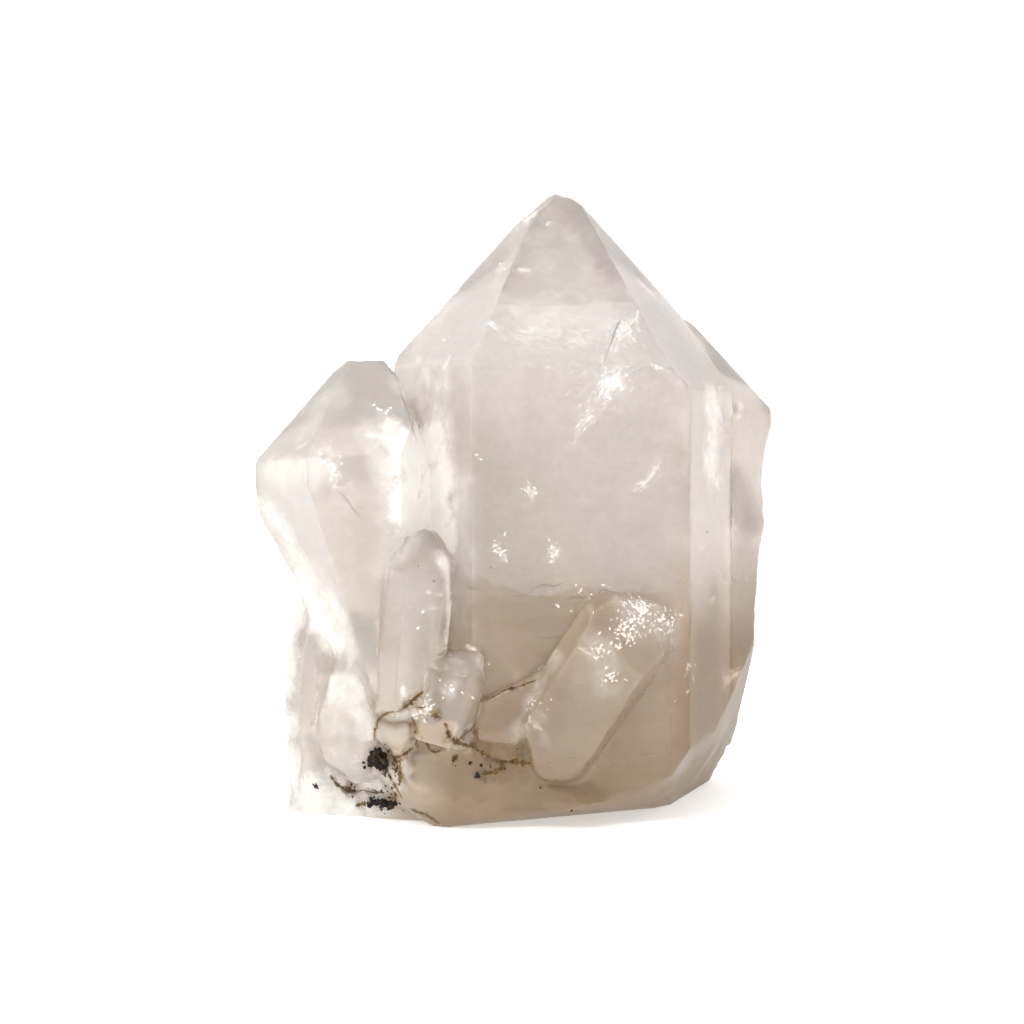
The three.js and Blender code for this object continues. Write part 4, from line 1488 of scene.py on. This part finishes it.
def blob(heap, place, radius, draw, rough):
    """A small lump with an uneven surface."""
    mesh = bmesh.new()
    bmesh.ops.create_icosphere(mesh, subdivisions=2, radius=radius)
    stray = Vector(draw.uniform(-50, 50, 3))
    squash = Vector(draw.uniform(0.7, 1.2, 3))
    points = []
    for v in mesh.verts:
        away = v.co.normalized()
        points.append(Vector(place) + v.co * squash * (1 + rough * 2 * noise.noise(away * 1.9 + stray)))
    faces = [[v.index for v in f.verts] for f in mesh.faces]
    mesh.free()
    heap.add(points, faces, [1.0] * len(points))


def oxide_material(look):
    material, nodes, shader = new_material("Dark Oxide")
    place = nodes.place()
    tone = nodes.patches(place, 1100.0, 0.48, 0.72, 4.0, 0.6)
    glint = nodes.patches(place, 3200.0, 0.55, 0.75, 2.0, to=(0.75, 0.35))
    shade(
        shader,
        nodes,
        Base_Color=nodes.mix(tone, look.oxide, look.oxide_brown),
        Roughness=glint,
        Normal=nodes.bump(nodes.noise(place, 2600.0, 4.0, 0.6), 0.12 * MM, 0.9),
    )
    return material


class QUARTZ_OT_oxide(bpy.types.Operator):
    """Crumble dark oxide over its two solids and scatter specks round them"""

    bl_idname = "quartz.crumble_oxide"
    bl_label = "Crumble Oxide"

    def execute(self, context):
        look = context.scene.surface_look
        grown = Grown()
        dark = oxide_material(look)
        for seed, node, shrink in OXIDE_SOLIDS:
            draw = np.random.default_rng(seed)
            mesh = bmesh.new()
            mesh.from_mesh(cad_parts[node].data)
            bmesh.ops.remove_doubles(mesh, verts=mesh.verts, dist=WELD)
            bmesh.ops.subdivide_edges(mesh, edges=mesh.edges, cuts=2, use_grid_fill=True)
            bmesh.ops.triangulate(mesh, faces=mesh.faces)
            mesh.normal_update()
            heap = Heap()
            points = []
            for v in mesh.verts:
                lumpy = noise.fractal(v.co / (CRUST_LUMP * MM), ROUGHNESS, 2.0, 4)
                points.append(v.co + v.normal * min(CRUST_RISE, CRUST_LUMP * lumpy - shrink) * MM)
            heap.add(points, [[v.index for v in f.verts] for f in mesh.faces], [1.0] * len(points))
            front = [v for v in mesh.verts if v.normal.y < FRONT_GRAINS]
            for _ in range(look.grains):
                v = front[draw.integers(len(front))]
                sunk = draw.uniform(0.0, 2 * shrink)
                blob(heap, v.co - v.normal * sunk * MM, draw.uniform(0.08, 0.32) * MM, draw, 0.45)
            mesh.free()
            crust = heap.piece(node.replace("patch", "crust"), dark, "dark_oxide")
            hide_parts(node)
        draw = np.random.default_rng(SPECK_SEED)
        specks = Heap()
        for place, scatter, count in SPECKS:
            for _ in range(count):
                on, _ = grown.spot(Vector(place) * MM + Vector(draw.normal(0, scatter * 0.6, 3)) * MM)
                blob(specks, on, draw.uniform(0.1, 0.26) * MM, draw, 0.35)
        specks.piece("oxide_specks", dark, "dark_oxide")
        return {"FINISHED"}


# Clusters of flakes that shine white by themselves, each a painted glint: where, how far they scatter and
# how many. Millimetres.
PAINTED_GLINT_SPOTS = [
    ((17.6, -26, 33), 2.4, 130),
    ((15.4, -27, 30), 1.6, 80),
    ((21.8, -24.6, 31), 1.8, 60),
    ((12, -29.2, 27.5), 1.6, 26),
    ((13.6, -29, 23.5), 1.2, 26),
    ((-14.2, -30.8, 19), 1.6, 40),
    ((-5.6, -27.8, 25), 1.2, 14),
    ((-9.5, -30.5, 22), 1.6, 16),
    ((5.2, -24.1, 41.6), 1.0, 14),
    ((-3, -24.6, 42), 1.4, 16),
    ((1.7, -23.7, 51), 1.0, 10),
    ((14, -21.7, 66.8), 1.8, 30),
    ((-28, -25, 55), 1.6, 12),
    ((-20.5, -20, 63), 1.4, 12),
    ((4, -3, 91), 2.0, 14),
    ((-3, -8, 84), 1.5, 12),
    ((8, -25, 35), 3.0, 20),
    ((2.5, -29.4, 19), 1.8, 18),
    ((24, -22, 22), 3.0, 10),
]


FLAKE_SEED = 5
# The flakes' white, which they also shine with: painted glint.
PAINTED_GLINT_TINTS = (1, 1, 1), (0.95, 0.95, 0.93)
FLAKE_LOWEST = 10 * MM  # the flakes all round start this high
FLAKE_GROUP = (1.6 * MM, 7)  # how far such a group scatters and how many flakes it has


class QUARTZ_OT_painted_glints(bpy.types.Operator):
    """Scatter flakes just inside the surface, which shine white by themselves as painted glint"""

    bl_idname = "quartz.scatter_sparkles"
    bl_label = "Scatter Painted Glints"

    def execute(self, context):
        look = context.scene.sealed_look
        grown = Grown()
        draw = np.random.default_rng(FLAKE_SEED)
        spots = [(Vector(c) * MM, scatter * MM, count) for c, scatter, count in PAINTED_GLINT_SPOTS]
        clear = np.flatnonzero(grown.points[:, 2] > FLAKE_LOWEST)
        spots += [(Vector(grown.points[draw.choice(clear)]), *FLAKE_GROUP) for _ in range(look.painted_glint_clusters)]
        heap = Heap()
        for place, scatter, count in spots:
            for _ in range(count):
                on, normal = grown.spot(place + Vector(draw.normal(0, 0.6 * scatter, 3)))
                side = normal.orthogonal().normalized()
                side.rotate(Quaternion(normal, draw.uniform(0, 2 * math.pi)))
                over = normal.cross(side) + normal * draw.uniform(-0.4, 0.4)
                wide, tall = draw.uniform(0.05, 0.22) * MM, draw.uniform(0.08, 0.5) * MM
                middle = on - normal * draw.uniform(0.02, 0.25) * MM
                ring = []
                for angle in np.arange(6) * math.pi / 3:
                    jag = draw.uniform(0.6, 1.1)
                    arm = side * wide * math.cos(angle) + over * tall * math.sin(angle)
                    ring.append(middle + arm * jag)
                heap.add([middle, *ring], [(0, k + 1, (k + 1) % 6 + 1) for k in range(6)], [1.0] * 7)
        heap.piece("sparkles", film_material("Painted Glint Flake", *PAINTED_GLINT_TINTS), "quartz", smooth=False)
        return {"FINISHED"}


class QUARTZ_OT_stage(bpy.types.Operator):
    """Set up the floor, the lights and the camera"""

    bl_idname = "quartz.set_stage"
    bl_label = "Set Stage"

    def execute(self, context):
        scene = context.scene
        look = scene.stage_look
        half = FLOOR_SIZE / 2
        z = CAD_LOW.z - FLOOR_DROP
        corners = [(-half, -half, z), (half, -half, z), (half, half, z), (-half, half, z)]
        floor = new_object("floor", corners, [(0, 1, 2, 3)], smooth=False)
        floor.data.materials.append(floor_material(look))
        floor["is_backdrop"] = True
        sky(scene)
        for lamp in LAMPS:
            area_light(*lamp)
        camera = bpy.data.cameras.new("camera")
        camera.lens, camera.sensor_width = look.lens, SENSOR
        camera.clip_start, camera.clip_end = 0.01, 20.0
        eye = bpy.data.objects.new("camera", camera)
        back = Vector((0, -math.cos(look.elevation), math.sin(look.elevation)))
        eye.location = AIM + back * look.away
        eye.rotation_euler = back.to_track_quat("Z", "Y").to_euler()
        scene.collection.objects.link(eye)
        scene.camera = eye
        scene.view_settings.view_transform = "Standard"
        for name, value in LIGHT_PATHS.items():
            setattr(scene.cycles, name, value)
        return {"FINISHED"}


class QUARTZ_PT_panel(bpy.types.Panel):
    """Every step of the cluster"""

    bl_idname = "QUARTZ_PT_panel"
    bl_label = "Quartz Cluster"
    bl_space_type = "VIEW_3D"
    bl_region_type = "UI"
    bl_category = "Quartz"

    def draw(self, context):
        for step in STEPS:
            self.layout.operator(step.bl_idname)
        for name in GROUPS:
            settings = getattr(context.scene, name)
            box = self.layout.box()
            for field in settings.bl_rna.properties:
                if not field.is_readonly and field.identifier != "name":
                    box.prop(settings, field.identifier)


STEPS = [
    QUARTZ_OT_stage,
    QUARTZ_OT_cluster,
    QUARTZ_OT_haze,
    QUARTZ_OT_veils,
    QUARTZ_OT_painted_glints,
    QUARTZ_OT_frost,
    QUARTZ_OT_stain,
    QUARTZ_OT_oxide,
]
CLASSES = [*GROUPS.values(), *STEPS, QUARTZ_PT_panel]


def register():
    for item in CLASSES:
        bpy.utils.register_class(item)
    for name, group in GROUPS.items():
        setattr(bpy.types.Scene, name, PointerProperty(type=group))


def unregister():
    for name in GROUPS:
        delattr(bpy.types.Scene, name)
    for item in reversed(CLASSES):
        bpy.utils.unregister_class(item)


def main():
    """Runs every step."""
    register()
    for step in STEPS:
        group, action = step.bl_idname.split(".")
        getattr(getattr(bpy.ops, group), action)()


if __name__ == "__main__":
    main()
